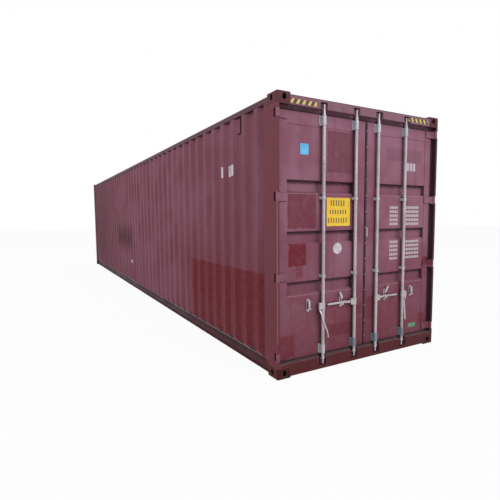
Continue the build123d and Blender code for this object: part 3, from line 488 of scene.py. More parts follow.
# A painted shadow under the upper ledge of each groove.
for groove_top in GROOVE_TOPS:
    low = (GROOVE_DEPTH[0], None, groove_top + GROOVE_SHADOW_LINE[0])
    high = (GROOVE_DEPTH[1], None, groove_top + GROOVE_SHADOW_LINE[1])
    door_patches.append((low, high, rgb(52, 28, 36), 0.60, 0.010))

STENCIL_WIDTH = 0.038
STENCIL_HEIGHT = (2.222, 2.316)
for low_y in (0.678, 0.734, 0.790, 0.846):
    stencil = ((None, low_y, STENCIL_HEIGHT[0]), (None, low_y + STENCIL_WIDTH, STENCIL_HEIGHT[1]))
    door_patches.append((*stencil, CHALK, 0.92, 0.003))
# The doors get a strong darkening in corners and under the groove ledges, partly dirt and partly painted
# shade.
door_paint = weathered_paint(
    "door_paint", rgb(138, 84, 101), rgb(155, 107, 124), rgb(112, 56, 70), door_patches,
    side=REAR_SIDE, wear=0.35, dents=0.004, dirt_and_shade=0.85
)
print("door marks", list(DOOR_MARKS), "patches", len(door_patches))

# %% [markdown]
# Stencil paint is sprayed on, so it has no relief to model. The dashes are added to the
# finished door paint: one field for each table, cut both ways, and chipped by a fine noise.

# %% Stencil the four tables of dashes
DASH_FILL = 0.68
ROW_FILL = 0.62


def painted_rows(finish, low, high, rows, dashes):
    """Add rows of small plain dashes to a finish, as worn stencil paint."""
    tree = finish.node_tree
    shader = shader_of(finish)
    under = shader.inputs["Base Color"].links[0].from_socket
    place = tree.nodes.new("ShaderNodeTexCoord").outputs["Object"]
    split = tree.nodes.new("ShaderNodeSeparateXYZ")
    tree.links.new(place, split.inputs[0])
    marks = area(tree, list(split.outputs), (None, low[0], low[1]), (None, high[0], high[1]), 0.002)
    marks = sums(tree, "MULTIPLY", marks, looking(tree, REAR_SIDE))
    ways = ((1, low[0], high[0], dashes, DASH_FILL), (2, low[1], high[1], rows, ROW_FILL))
    for axis, first, last, count, filled in ways:
        along = sums(tree, "SUBTRACT", split.outputs[axis], first)
        beat = sums(tree, "FRACT", sums(tree, "MULTIPLY", along, count / (last - first)))
        marks = sums(tree, "MULTIPLY", marks, ease(tree, beat, filled + 0.05, filled - 0.05))
    chips = ease(tree, mottle(tree, place, 0.02, 4.0), 0.30, 0.44, 0.45, 0.95)
    colour = blended(tree, sums(tree, "MULTIPLY", marks, chips), under, CHALK)
    tree.links.new(colour, shader.inputs["Base Color"])


TABLES = [
    ((0.446, 1.560), (0.592, 1.806), 5, 5),
    ((0.704, 1.556), (0.976, 1.808), 5, 9),
    ((0.452, 1.138), (0.600, 1.390), 5, 5),
    ((0.718, 1.140), (0.990, 1.386), 5, 9),
]
for low, high, rows, dashes in TABLES:
    painted_rows(door_paint, low, high, rows, dashes)
print("tables", len(TABLES))

# %% [markdown]
# The frame is the strong part: posts, rails, header, sill and the members under the floor.
# Its paint takes more knocks, so it is duller and browner than the sheets, nearly red along
# the sill and paler on the header. The sill's upper edge is rubbed to grey by cargo and
# boots. The rim of the bottom rail gets a painted highlight and the hollow under it a
# painted shadow, and the right rear post is darkened by painted shade. One front post has
# a rust stain. Posts and rails are straight and square, so a box in metres is enough to
# place each mark.

# %% Paint the frame
FRAME_MARKS = {
    "red sill": ((5.96, None, -0.1), (6.2, None, 0.175), rgb(91, 34, 37), 0.90, 0.010),
    "pale header": ((5.95, -1.3, 2.76), (6.2, 1.3, 2.90), rgb(147, 105, 117), 0.90, 0.010),
    "header's right half": ((5.95, 0.30, 2.76), (6.2, 1.3, 2.90), rgb(142, 108, 118), 0.70, 0.200),
    "rails and floor members": ((-6.3, None, -0.1), (5.90, None, 0.19), rgb(62, 36, 42), 0.80, 0.020),
    "redder rail by the doors": ((3.60, -1.3, -0.1), (5.95, -1.1, 0.20), rgb(86, 30, 35), 0.75, 0.300),
    # A painted shadow in the hollow of the rail, then a painted highlight on its rim.
    "painted shadow in the hollow of the rail": ((-6.3, -1.3, 0.085), (5.93, -1.1, 0.165), rgb(38, 20, 25), 0.70, 0.020),
    "painted highlight on the rim of the rail": ((-6.1, -1.3, 0.168), (5.93, -1.203, 0.184), rgb(170, 138, 146), 0.85, 0.003),
    "left rear post": ((5.80, -1.3, 0.1), (6.2, -1.15, 2.80), rgb(118, 56, 68), 0.85, 0.020),
    "its redder foot": ((5.80, -1.3, -0.5), (6.2, -1.15, 1.05), rgb(110, 42, 48), 0.85, 0.500),
    "rubbed edge of the sill": ((5.97, -1.19, 0.148), (6.2, 1.19, 0.166), rgb(99, 87, 87), 0.80, 0.006),
    "dark top of the header": ((6.06, -1.30, 2.865), (6.2, 1.30, 2.880), rgb(66, 50, 52), 0.80, 0.004),
    "rubbed edge of the post": ((6.084, -1.3, 0.38), (6.2, -1.208, 1.93), rgb(150, 118, 98), 0.70, 0.004),
    # Painted shade on the right rear post.
    "painted shade on the right rear post": ((5.80, 1.135, 0.15), (6.2, 1.30, 2.78), rgb(58, 40, 48), 0.50, 0.020),
    "rust on the front post": ((-6.3, -1.3, 0.72), (-5.94, -1.12, 1.26), rgb(158, 92, 52), 0.95, 0.150),
}
frame_paint = weathered_paint(
    "frame_paint", rgb(87, 53, 63), rgb(103, 70, 80), rgb(72, 42, 48), FRAME_MARKS.values(),
    wear=0.9, dents=0.001, dirt_and_shade=0.3
)
vent_cover = weathered_paint(
    "vent_cover", rgb(110, 63, 76), rgb(122, 74, 87), rgb(87, 48, 57), wear=0.3, dents=0.0005
)
print("frame marks", list(FRAME_MARKS))

# %% [markdown]
# Corner fittings are steel castings, so under the paint they are grainy rather than smooth,
# and every crane and lorry scrapes them. Wide edge wear, coarse bump and rust do that. The
# lower ones are redder, because they were painted over together with the sill.

# %% Finish the corner fittings
CAST_GRAIN = 0.012
CAST_DEPTH = 0.003
LOW_CASTINGS = ((-6.3, None, -0.1), (6.3, None, 0.2), rgb(74, 20, 22), 0.92, 0.010)
cast_fittings = weathered_paint(
    "cast_fittings", rgb(87, 40, 45), rgb(101, 57, 64), rgb(68, 32, 35), [LOW_CASTINGS],
    wear=1.0, edge=0.012, dents=0.001, dirt_and_shade=0.6
)
tree = cast_fittings.node_tree
bent = shader_of(cast_fittings).inputs["Normal"]
place = tree.nodes.new("ShaderNodeTexCoord").outputs["Object"]
lumps = mottle(tree, place, CAST_GRAIN, 6.0, rough=0.7)
tree.links.new(bumped(tree, lumps, CAST_DEPTH, bent.links[0].from_socket), bent)
print("castings ready")

# %% [markdown]
# The lock gear is hot-dip galvanised, which leaves pale crystals called spangle that go dull
# and chalky outdoors. A Voronoi cell pattern gives the spangle, cloudy noise the dull bloom,
# and finer noise the freckles of rust. The lower brackets carry a blue-green bloom, which
# comes from zinc salts, and the rods' feet are rubbed pale where they stand in the sill, so
# both are placed by height.

# %% Finish the galvanised gear
SPANGLE_SCALE = 90.0
SPANGLE_DEPTH = 0.0002
PIT_SIZE = 0.03
PIT_DEPTH = 0.0015
BLOOM_SIZE = 0.12
LOW_BRACKETS = ((None, -0.4, 0.0), (None, 1.2, 0.33))
ROD_FEET = ((None, None, 0.110), (None, None, 0.138))
GEAR_DIRT_AND_SHADE_REACH = 0.05
ZINC_METAL = 0.35


def galvanised(name, bright, dull, low_tint=None, rust=0.5):
    """Weathered zinc on steel, with freckles of rust."""
    finish, tree, shader, place, axes = new_finish(name)
    cells = tree.nodes.new("ShaderNodeTexVoronoi")
    cells.inputs["Scale"].default_value = SPANGLE_SCALE
    tree.links.new(place, cells.inputs["Vector"])
    grey = tree.nodes.new("ShaderNodeRGBToBW")
    tree.links.new(cells.outputs["Color"], grey.inputs[0])
    colour = blended(tree, ease(tree, grey.outputs[0], 0.2, 0.8, 0.0, 0.6), bright, dull)
    bloom = mottle(tree, place, BLOOM_SIZE, 6.0, stretch=(1, 1, 0.4), rough=0.65)
    colour = blended(tree, ease(tree, bloom, 0.45, 0.66), colour, dull)
    if low_tint is not None:
        low = area(tree, axes, *LOW_BRACKETS, 0.04)
        colour = blended(tree, sums(tree, "MULTIPLY", low, 0.75), colour, low_tint)
    foot = area(tree, axes, *ROD_FEET, 0.004)
    colour = blended(tree, sums(tree, "MULTIPLY", foot, 0.8), colour, rgb(226, 222, 226))
    # Corners are darkened here, partly as dirt and partly as painted shade.
    colour = blended(tree, sums(tree, "MULTIPLY", corners(tree, GEAR_DIRT_AND_SHADE_REACH), 0.7), colour, GRIME_AND_SHADE)
    fine = mottle(tree, place, PIT_SIZE, 8.0, stretch=(1, 1, 0.35), rough=0.72)
    colour = blended(tree, ease(tree, fine, 0.56, 0.70, 0.0, rust), colour, rgb(120, 78, 56))
    tree.links.new(colour, shader.inputs["Base Color"])
    tree.links.new(ease(tree, bloom, 0.35, 0.65, 0.42, 0.68), shader.inputs["Roughness"])
    shader.inputs["Metallic"].default_value = ZINC_METAL
    pits = bumped(tree, fine, PIT_DEPTH)
    tree.links.new(bumped(tree, grey.outputs[0], SPANGLE_DEPTH, pits), shader.inputs["Normal"])
    return finish


gear_steel = galvanised("gear_steel", rgb(206, 195, 200), rgb(180, 169, 173))
bracket_steel = galvanised("bracket_steel", rgb(206, 204, 212), rgb(178, 176, 184), rgb(98, 124, 130))
pin_steel = galvanised("pin_steel", rgb(118, 100, 98), rgb(92, 76, 76), rust=0.9)
print("zinc finishes", gear_steel.name, bracket_steel.name, pin_steel.name)

# %% [markdown]
# Inside, the floor is thick marine plywood, sealed dark and scuffed by forklifts. Long
# stretched noise gives its grain along the container, and a few pale scrapes lie over it.
# The door seals are black rubber, dusty on their lips, with very little shine.

# %% Finish the plywood and the rubber
plywood, tree, shader, place, axes = new_finish("plywood")
grain = mottle(tree, place, 0.05, 8.0, stretch=(0.06, 1, 1), rough=0.6)
colour = blended(tree, ease(tree, grain, 0.35, 0.65), rgb(112, 82, 58), rgb(82, 58, 42))
scrapes = mottle(tree, place, 0.04, 5.0, stretch=(0.08, 1, 1))
colour = blended(tree, ease(tree, scrapes, 0.62, 0.70, 0.0, 0.6), colour, rgb(158, 134, 108))
tree.links.new(colour, shader.inputs["Base Color"])
tree.links.new(ease(tree, grain, 0.3, 0.7, 0.45, 0.65), shader.inputs["Roughness"])
tree.links.new(bumped(tree, grain, 0.0012), shader.inputs["Normal"])

seal_rubber, tree, shader, place, axes = new_finish("seal_rubber")
dust = mottle(tree, place, 0.05, 6.0, stretch=(1, 1, 0.3))
colour = blended(tree, ease(tree, dust, 0.48, 0.72, 0.0, 0.5), rgb(42, 31, 38), rgb(90, 70, 78))
tree.links.new(colour, shader.inputs["Base Color"])
shader.inputs["Roughness"].default_value = 0.78
tree.links.new(bumped(tree, mottle(tree, place, 0.006, 3.0), 0.0004), shader.inputs["Normal"])
print("plywood and rubber ready")

# %% [markdown]
# The frame's record names a finish for every part, so the parts are dressed in one loop and
# none can be forgotten. The names are written out in a table, because Blender adds a number
# to a new material's name when the loaded parts already hold one of that name.

# %% Give each CAD part its finish
FINISHES = {
    "shell_paint": shell_paint,
    "frame_paint": frame_paint,
    "door_paint": door_paint,
    "cast_fittings": cast_fittings,
    "gear_steel": gear_steel,
    "bracket_steel": bracket_steel,
    "pin_steel": pin_steel,
    "seal_rubber": seal_rubber,
    "plywood": plywood,
    "vent_cover": vent_cover,
}
for row in frame["record"]["subparts"]:
    for socket in nodes[row["node"]].material_slots:
        socket.material = FINISHES[row["material_slot"]]

# %% [markdown]
# The pieces that follow are small and are shaped from a first box, plane or cylinder in edit
# mode. Their faces are picked by where they lie or which way they look, so that the same
# lines work whatever order Blender keeps them in.

# %% Name the modelling helpers
def start_box(name, low, high):
    """A box at its size and place, with its origin at the world's."""
    bpy.ops.object.select_all(action="DESELECT")
    middle = [(first + last) / 2 for first, last in zip(low, high)]
    bpy.ops.mesh.primitive_cube_add(size=1, location=middle)
    piece = bpy.context.object
    piece.name = name
    piece.scale = [last - first for first, last in zip(low, high)]
    bpy.ops.object.transform_apply(location=True, rotation=True, scale=True)
    return piece


def start_disc(name, sides, radius, depth, place):
    """A short cylinder that lies along x, with its origin at the world's."""
    bpy.ops.object.select_all(action="DESELECT")
    bpy.ops.mesh.primitive_cylinder_add(
        vertices=sides, radius=radius, depth=depth, rotation=(0, pi / 2, 0), location=place
    )
    piece = bpy.context.object
    piece.name = name
    bpy.ops.object.transform_apply(location=True, rotation=True, scale=True)
    return piece


def pick(piece, kind, test):
    """Select the vertices, edges or faces whose middle passes a test, in edit mode."""
    bpy.ops.mesh.select_all(action="DESELECT")
    bpy.context.tool_settings.mesh_select_mode = [kind == wanted for wanted in ("VERT", "EDGE", "FACE")]
    shape = bmesh.from_edit_mesh(piece.data)
    for part in {"VERT": shape.verts, "EDGE": shape.edges, "FACE": shape.faces}[kind]:
        ends = [part] if kind == "VERT" else list(part.verts)
        middle = sum((end.co for end in ends), Vector()) / len(ends)
        if test(middle, part):
            part.select_set(True)
    shape.select_flush_mode()
    bmesh.update_edit_mesh(piece.data)


def close_shape(piece, *finishes, angle=35):
    """Leave edit mode with normals outwards, soft only across gentle angles."""
    bpy.ops.mesh.select_all(action="SELECT")
    bpy.ops.mesh.normals_make_consistent(inside=False)
    bpy.ops.object.mode_set(mode="OBJECT")
    bpy.ops.object.select_all(action="DESELECT")
    piece.select_set(True)
    bpy.context.view_layer.objects.active = piece
    bpy.ops.object.shade_smooth_by_angle(angle=radians(angle))
    for finish in finishes:
        piece.data.materials.append(finish)


def repeat(pattern, name, places, turns=None):
    """Copy one small shape to many places, each copy its own mesh, joined as one piece."""
    copies = []
    for index, place in enumerate(places):
        copy = pattern.copy()
        copy.data = pattern.data.copy()
        turned = turns[index] if turns else Matrix.Identity(4)
        copy.data.transform(Matrix.Translation(place) @ turned)
        scene.collection.objects.link(copy)
        copies.append(copy)
    bpy.ops.object.select_all(action="DESELECT")
    for copy in copies:
        copy.select_set(True)
    bpy.context.view_layer.objects.active = copies[0]
    if len(copies) > 1:
        bpy.ops.object.join()
    piece = bpy.context.view_layer.objects.active
    piece.name = name
    return piece


print("modelling helpers ready")

# %% [markdown]
# The door seal is a rubber moulding that runs all round each leaf and folds against the
# frame when the door shuts. It could be a swept profile, but a ring is simpler to keep
# closed: a flat frame is inset from one plane, given depth, and its rear face is inset twice
# more to sink a groove and to raise the soft lip in it. At the seam each seal carries a flap
# that nearly closes the gap between the two leaves.

# %% Model the rubber door seals
SEAL_WIDTH = 0.024
LIP_INSET = 0.004
GROOVE_SUNK = 0.006
LIP_RAISED = 0.005
FLAP_ROOT = 0.010
FLAP_REACH = 0.003
FLAP_HALF_DEPTH = 0.012
FLAP_SHORT = 0.004
FLAP_ROUND = 0.0035
NEAR_MIDDLE = 0.1
FACE_ON = 0.9
HAIR = 0.0001
for side, hand in (("left", -1), ("right", 1)):
    low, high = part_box(f"{side}_door_gasket")
    bpy.ops.object.select_all(action="DESELECT")
    middle = [(first + last) / 2 for first, last in zip(low, high)]
    on_face = (high[0], middle[1], middle[2])
    bpy.ops.mesh.primitive_plane_add(size=1, rotation=(0, pi / 2, 0), location=on_face)
    seal = bpy.context.object
    seal.name = f"{side}_rubber_seal"
    seal.scale = (high[2] - low[2], high[1] - low[1], 1)
    bpy.ops.object.transform_apply(location=True, rotation=True, scale=True)
    bpy.ops.object.mode_set(mode="EDIT")
    bpy.ops.mesh.select_all(action="SELECT")
    bpy.ops.mesh.inset(thickness=SEAL_WIDTH)
    pick(seal, "FACE", lambda at, face: (at - Vector(on_face)).length < NEAR_MIDDLE)
    bpy.ops.mesh.delete(type="FACE")
    bpy.ops.mesh.select_all(action="SELECT")
    bpy.ops.mesh.normals_make_consistent(inside=False)
    bpy.ops.mesh.extrude_region_move(TRANSFORM_OT_translate={"value": (low[0] - high[0], 0, 0)})
    pick(seal, "FACE", lambda at, face: at.x > high[0] - HAIR and abs(face.normal.x) > FACE_ON)
    bpy.ops.mesh.inset(thickness=LIP_INSET)
    bpy.ops.transform.translate(value=(-GROOVE_SUNK, 0, 0))
    bpy.ops.mesh.inset(thickness=LIP_INSET)
    bpy.ops.transform.translate(value=(LIP_RAISED, 0, 0))
    bpy.ops.mesh.select_all(action="SELECT")
    bpy.ops.mesh.normals_make_consistent(inside=False)
    bpy.ops.object.mode_set(mode="OBJECT")
    edge_y = low[1] if hand > 0 else high[1]
    flap_y = sorted((edge_y - hand * FLAP_REACH, edge_y + hand * FLAP_ROOT))
    flap = start_box(
        f"{side}_flap",
        (high[0] - FLAP_HALF_DEPTH, flap_y[0], low[2] + FLAP_SHORT),
        (high[0] + FLAP_HALF_DEPTH, flap_y[1], high[2] - FLAP_SHORT),
    )
    bpy.ops.object.mode_set(mode="EDIT")
    pick(flap, "EDGE", lambda at, edge: at.x > high[0] and abs(at.z - middle[2]) < NEAR_MIDDLE)
    bpy.ops.mesh.bevel(offset=FLAP_ROUND, segments=3, affect="EDGES")
    close_shape(flap)
    bpy.ops.object.select_all(action="DESELECT")
    flap.select_set(True)
    seal.select_set(True)
    bpy.context.view_layer.objects.active = seal
    bpy.ops.object.join()
    bpy.ops.object.mode_set(mode="EDIT")
    close_shape(seal, seal_rubber)
    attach(seal, f"{side}_door")
    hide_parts(f"{side}_door_gasket")
    print(seal.name, len(seal.data.polygons), "faces")

# %% [markdown]
# Where the leaves meet, the right one carries a flat rubber lip over its edge that keeps
# rain out of the seam. It reaches over the right seal's flap and stops short of the left
# one's, so that either leaf can swing first. It is a strip with its two long edges rounded
# off, held by a row of flat rivets, so one rivet is modelled and copied down the strip.

# %% Model the rubber lip at the seam
LIP_LOW = (6.036, 0.0235, 0.176)
LIP_HIGH = (6.0395, 0.050, 2.727)
LIP_ROUND = 0.0016
RIVETS = 14
RIVET_Y = 0.0415
RIVET_RADIUS = 0.005
RIVET_HEIGHT = 0.002
RIVET_CROWN = 0.0008
CHAMFER = 0.0016
lip_middle = (LIP_LOW[2] + LIP_HIGH[2]) / 2
lip = start_box("seam_lip", LIP_LOW, LIP_HIGH)
bpy.ops.object.mode_set(mode="EDIT")
pick(lip, "EDGE", lambda at, edge: at.x > LIP_HIGH[0] - HAIR and abs(at.z - lip_middle) < NEAR_MIDDLE)
bpy.ops.mesh.bevel(offset=LIP_ROUND, segments=3, affect="EDGES")
close_shape(lip, seal_rubber)
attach(lip, "right_door")

rivet = start_disc("rivet", 10, RIVET_RADIUS, RIVET_HEIGHT, (RIVET_HEIGHT / 2, 0, 0))
bpy.ops.object.mode_set(mode="EDIT")
pick(rivet, "FACE", lambda at, face: at.x > RIVET_HEIGHT - HAIR)
bpy.ops.mesh.inset(thickness=CHAMFER)
bpy.ops.transform.translate(value=(RIVET_CROWN, 0, 0))
close_shape(rivet, gear_steel)
down = (LIP_HIGH[2] - LIP_LOW[2]) / RIVETS
rivet_levels = [LIP_LOW[2] + down * (count + 0.5) for count in range(RIVETS)]
rivet_places = [(LIP_HIGH[0], RIVET_Y, level) for level in rivet_levels]
rivets = repeat(rivet, "lip_rivets", rivet_places)
bpy.data.objects.remove(rivet)
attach(rivets, "right_door")
print(lip.name, len(lip.data.polygons), "faces,", rivets.name, len(rivets.data.polygons), "faces")

# %% [markdown]
# The bolts are hexagon heads on round washers. The real heads are forged with a chamfered
# crown, so the cylinder's front face is inset and drawn out a little. One bolt is modelled
# here, with its foot at x = 0, and then copied.

# %% Model one bolt
WASHER_RADIUS = 0.0125
WASHER_THICK = 0.002
HEAD_RADIUS = 0.0088
HEAD_HEIGHT = 0.006
HEAD_CROWN = 0.0012
bolt = start_disc("bolt", 6, HEAD_RADIUS, HEAD_HEIGHT, (WASHER_THICK + HEAD_HEIGHT / 2, 0, 0))
bpy.ops.object.mode_set(mode="EDIT")
pick(bolt, "FACE", lambda at, face: at.x > WASHER_THICK + HEAD_HEIGHT - HAIR)
bpy.ops.mesh.inset(thickness=CHAMFER)
bpy.ops.transform.translate(value=(HEAD_CROWN, 0, 0))
bpy.ops.object.mode_set(mode="OBJECT")
start_disc("washer", 14, WASHER_RADIUS, WASHER_THICK, (WASHER_THICK / 2, 0, 0))
bolt.select_set(True)
bpy.context.view_layer.objects.active = bolt
bpy.ops.object.join()
bpy.ops.object.mode_set(mode="EDIT")
close_shape(bolt, bracket_steel)
print(bolt.name, len(bolt.data.polygons), "faces")

# %% [markdown]
# Four bolts hold each bracket at the rods' ends, and two hold each guide. Their places are
# worked out from the rods, so that they stay in line, and the copies on a leaf are joined to
# one piece that swings with it.

# %% Copy the bolt to the brackets and guides
INNER_RODS = {"left": -0.148, "right": 0.196}
OUTER_RODS = {"left": -0.608, "right": 0.656}
BRACKET_LEVELS = (0.230, 2.673)
BRACKET_BOLT_Y = 0.032
BRACKET_BOLT_Z = 0.041
BRACKET_FACE = 6.041
GUIDE_LEVELS = (1.033, 1.870)
GUIDE_BOLT_Y = 0.0265
INNER_GUIDE_FACE = 6.041
OUTER_GUIDE_FACE = 6.037
for side in ("left", "right"):
    bracket_bolts = []
    rods = ((OUTER_RODS[side], OUTER_GUIDE_FACE), (INNER_RODS[side], INNER_GUIDE_FACE))
    for rod_y, guide_face in rods:
        for way in (-1, 1):
            for level in BRACKET_LEVELS:
                for up in (-BRACKET_BOLT_Z, BRACKET_BOLT_Z):
                    bracket_bolts.append((BRACKET_FACE, rod_y + way * BRACKET_BOLT_Y, level + up))
            for level in GUIDE_LEVELS:
                bracket_bolts.append((guide_face, rod_y + way * GUIDE_BOLT_Y, level))
    piece = repeat(bolt, f"{side}_bracket_bolts", bracket_bolts)
    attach(piece, f"{side}_door")
    print(piece.name, len(bracket_bolts), "bolts,", len(piece.data.polygons), "faces")
bpy.data.objects.remove(bolt)

# %% [markdown]
# Signs on a container are a pressed aluminium plate or a vinyl film, printed and then faded
# and scratched. Their bars and dashes are only colour, so they are drawn in the material,
# from the same coordinates as the paint.

# %% Finish the signs
def printed(name, base, faded, bars=None, ink=None):
    """Vinyl or enamel that has faded, with bars in ink if a way to draw them is given."""
    finish, tree, shader, place, axes = new_finish(name)
    clouds = mottle(tree, place, 0.07, 6.0)
    colour = blended(tree, ease(tree, clouds, 0.4, 0.68), base, faded)
    if bars is not None:
        colour = bars(tree, axes, colour, ink)
    scratched = mottle(tree, place, 0.012, 8.0, stretch=(1, 1, 0.4), rough=0.7)
    colour = blended(tree, ease(tree, scratched, 0.64, 0.70, 0.0, 0.6), colour, rgb(120, 96, 84))
    tree.links.new(colour, shader.inputs["Base Color"])
    tree.links.new(ease(tree, clouds, 0.3, 0.7, 0.38, 0.6), shader.inputs["Roughness"])
    tree.links.new(bumped(tree, scratched, 0.0003), shader.inputs["Normal"])
    return finish


BAR_LEAN = -0.56
BAR_PITCH = 0.0735


def slanted_bars(tree, axes, under, ink):
    """Slanted bars that mirror each other about the middle of the header."""
    lean = sums(tree, "MULTIPLY", axes[2], BAR_LEAN)
    out = sums(tree, "SUBTRACT", sums(tree, "ABSOLUTE", axes[1]), lean)
    beat = sums(tree, "FRACT", sums(tree, "MULTIPLY", out, 1 / BAR_PITCH))
    away = sums(tree, "ABSOLUTE", sums(tree, "SUBTRACT", beat, 0.5))
    return blended(tree, ease(tree, away, 0.25, 0.20), under, ink)


def sign_rows(tree, axes, under, ink):
    """Three rows of plain upright dashes."""
    for low, high, count in (
        ((-0.480, 1.784), (-0.262, 1.848), 6),
        ((-0.494, 1.698), (-0.234, 1.744), 7),
        ((-0.514, 1.600), (-0.226, 1.656), 8),
    ):
        row = area(tree, axes, (None, low[0], low[1]), (None, high[0], high[1]), 0.003)
        steps = sums(tree, "MULTIPLY", sums(tree, "SUBTRACT", axes[1], low[0]), count / (high[0] - low[0]))
        beat = ease(tree, sums(tree, "FRACT", steps), 0.46, 0.36)
        under = blended(tree, sums(tree, "MULTIPLY", row, beat), under, ink)
    return under


sign_yellow = printed("sign_yellow", rgb(255, 212, 48), rgb(244, 198, 66), sign_rows, rgb(96, 72, 44))
stripe_film = printed("stripe_film", rgb(58, 44, 46), rgb(74, 56, 56), slanted_bars, rgb(222, 190, 104))
blue_film = printed("blue_film", rgb(84, 184, 236), rgb(118, 202, 240))
white_film = printed("white_film", rgb(222, 212, 216), rgb(200, 186, 192))
green_tag = printed("green_tag", rgb(88, 146, 110), rgb(118, 172, 136))
print("signs", [sign_yellow.name, stripe_film.name, blue_film.name, white_film.name, green_tag.name])

# %% [markdown]
# Each sign is a box 0.7 to 1.6 mm thick with rounded corners. Its middle is sunk by a part of
# that. On the plate this leaves the rim of the press, and on a film it stands for an edge
# that has lifted a little. A bare plane would be quicker, but it isn't a closed shape.

# %% Model the signs and stick them on
PANEL_FACE = 6.032
LEAF_FACE = 6.036
HEADER_FACE = 6.093
SIGNS = {
    "height_plate": {
        "low": (-0.535, 1.566), "high": (-0.199, 1.876), "face": PANEL_FACE, "thick": 0.0016,
        "round": 0.008, "rim": 0.006, "finish": sign_yellow, "body": "left_door",
    },
    "blue_sticker": {
        "low": (-0.891, 2.312), "high": (-0.784, 2.424), "face": PANEL_FACE, "thick": 0.0008,
        "round": 0.010, "rim": 0.004, "finish": blue_film, "body": "left_door",
    },
    "green_label": {
        "low": (0.814, 0.246), "high": (0.953, 0.297), "face": LEAF_FACE, "thick": 0.0008,
        "round": 0.005, "rim": 0.003, "finish": green_tag, "body": "right_door",
    },
    "left_stripe_film": {
        "low": (-1.056, 2.792), "high": (-0.726, 2.836), "face": HEADER_FACE, "thick": 0.0007,
        "round": 0.003, "rim": 0.002, "finish": stripe_film, "body": "container",
    },
    "right_stripe_film": {
        "low": (0.668, 2.798), "high": (1.022, 2.842), "face": HEADER_FACE, "thick": 0.0007,
        "round": 0.003, "rim": 0.002, "finish": stripe_film, "body": "container",
    },
}
SUNK_SHARE = 0.35
for name, sign in SIGNS.items():
    front = sign["face"] + sign["thick"]
    half_way = sign["face"] + sign["thick"] / 2
    piece = start_box(name, (sign["face"], *sign["low"]), (front, *sign["high"]))
    bpy.ops.object.mode_set(mode="EDIT")
    pick(piece, "EDGE", lambda at, edge: abs(at.x - half_way) < sign["thick"] / 4)
    bpy.ops.mesh.bevel(offset=sign["round"], segments=4, affect="EDGES")
    pick(piece, "FACE", lambda at, face: face.normal.x > FACE_ON)
    bpy.ops.mesh.inset(thickness=sign["rim"])
    bpy.ops.transform.translate(value=(-sign["thick"] * SUNK_SHARE, 0, 0))
    close_shape(piece, sign["finish"])
    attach(piece, sign["body"])
    print(name, len(piece.data.polygons), "faces")

# %% [markdown]
# One film is round, so it starts as a short cylinder. Forty sides are enough for a disc of
# this size to look round close up, and its middle is sunk as on the other signs.

# %% Model the round film
FILM_RADIUS = 0.062
FILM_THICK = 0.0008
FILM_SIDES = 40
FILM_RIM = 0.005
FILM_SUNK = 0.0003
FILM_PLACE = (PANEL_FACE + FILM_THICK / 2, -0.378, 1.318)
disc = start_disc("white_disc", FILM_SIDES, FILM_RADIUS, FILM_THICK, FILM_PLACE)
bpy.ops.object.mode_set(mode="EDIT")
pick(disc, "FACE", lambda at, face: face.normal.x > FACE_ON)
bpy.ops.mesh.inset(thickness=FILM_RIM)
bpy.ops.transform.translate(value=(-FILM_SUNK, 0, 0))
close_shape(disc, white_film)
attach(disc, "left_door")
print("white_disc", len(disc.data.polygons), "faces")

# %% [markdown]
# The castings are welded to the posts all the way round. Beads are laid only on the outer
# faces, where they show. A weld bead is a string of small overlapping ripples, so a thin rod
# is cut into rings and every second ring is drawn in. It is only as proud as the post is set
# back from the casting.

# %% Model a weld bead and lay it where the posts meet the castings
BEAD = 0.0025
BEAD_RUN = 0.150
RIPPLES = 30
DRAWN_IN = 0.78
CASTING_EDGES = (0.118, 2.778)
SIDE_BEAD = (6.005, 1.216)
END_BEAD = (6.093, 1.136)
bpy.ops.object.select_all(action="DESELECT")
bpy.ops.mesh.primitive_cylinder_add(vertices=8, radius=BEAD, depth=BEAD_RUN)
bead = bpy.context.object
bead.name = "weld_bead"
bpy.ops.object.mode_set(mode="EDIT")
pick(bead, "EDGE", lambda at, edge: abs(at.z) < BEAD_RUN / 4)
bpy.ops.mesh.subdivide(number_cuts=RIPPLES - 1)
step = BEAD_RUN / RIPPLES
pick(bead, "VERT", lambda at, spot: round((at.z + BEAD_RUN / 2) / step) % 2 == 1)
bpy.ops.transform.resize(value=(DRAWN_IN, DRAWN_IN, 1.0), center_override=(0, 0, 0))
close_shape(bead, frame_paint, angle=60)

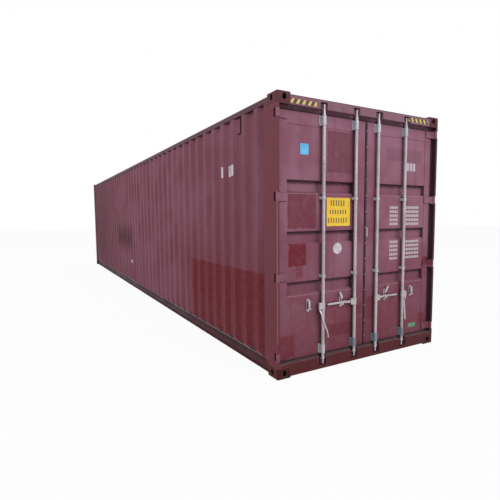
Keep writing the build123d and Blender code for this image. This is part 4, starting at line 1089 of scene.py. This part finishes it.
along_x = Matrix.Rotation(pi / 2, 4, "Y")
along_y = Matrix.Rotation(pi / 2, 4, "X")
places, turns = [], []
for end in (-1, 1):
    for hand in (-1, 1):
        for level in CASTING_EDGES:
            places.append((end * SIDE_BEAD[0], hand * SIDE_BEAD[1], level))
            turns.append(along_x)
            places.append((end * END_BEAD[0], hand * END_BEAD[1], level))
            turns.append(along_y)
welds = repeat(bead, "corner_welds", places, turns)
bpy.data.objects.remove(bead)
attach(welds, "container")
print("welds", len(places), "beads,", len(welds.data.polygons), "faces")

# %% [markdown]
# At the front end each side sheet stops in a trough, some 30 mm inside the post's plate. A
# folded strip, welded from rail to rail, closes that slot, or rain would run in. It starts
# as the leg that lies on the plate. It is cut across near its rear end, and the short part
# is drawn inwards until it meets the sheet. Two boxes would do, but they would only touch,
# and one folded piece is whole.

# %% Model the closing strips at the front posts
STRIP = 0.003
STRIP_LEG = 0.030
STRIP_FOLD = 0.002
POST_PLATE = 0.006
plate_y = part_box("front_corner_posts")[1][1] - POST_PLATE
for side, hand in (("left", -1), ("right", 1)):
    wall_low, wall_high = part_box(f"{side}_side_wall")
    sheet_end = wall_low[0]
    sheet_y = min(abs(wall_low[1]), abs(wall_high[1]))
    across = sorted((hand * plate_y, hand * (plate_y - STRIP)))
    strip = start_box(
        f"{side}_closing_strip",
        (sheet_end - STRIP_LEG, across[0], wall_low[2]),
        (sheet_end, across[1], wall_high[2]),
    )
    bpy.ops.object.mode_set(mode="EDIT")
    bpy.ops.mesh.select_all(action="SELECT")
    bpy.ops.mesh.bisect(plane_co=(sheet_end - STRIP, 0, 0), plane_no=(1, 0, 0))
    pick(strip, "FACE", lambda at, face: at.x > sheet_end - STRIP and face.normal.y * hand < -FACE_ON)
    drawn = hand * (sheet_y + STRIP - plate_y)
    bpy.ops.mesh.extrude_region_move(TRANSFORM_OT_translate={"value": (0, drawn, 0)})
    pick(strip, "EDGE", lambda at, edge: at.x > sheet_end - HAIR and abs(at.y - hand * plate_y) < HAIR)
    bpy.ops.mesh.bevel(offset=STRIP_FOLD, segments=3, affect="EDGES")
    close_shape(strip, frame_paint)
    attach(strip, "container")
    print(strip.name, len(strip.data.polygons), "faces, drawn", round(drawn, 4))
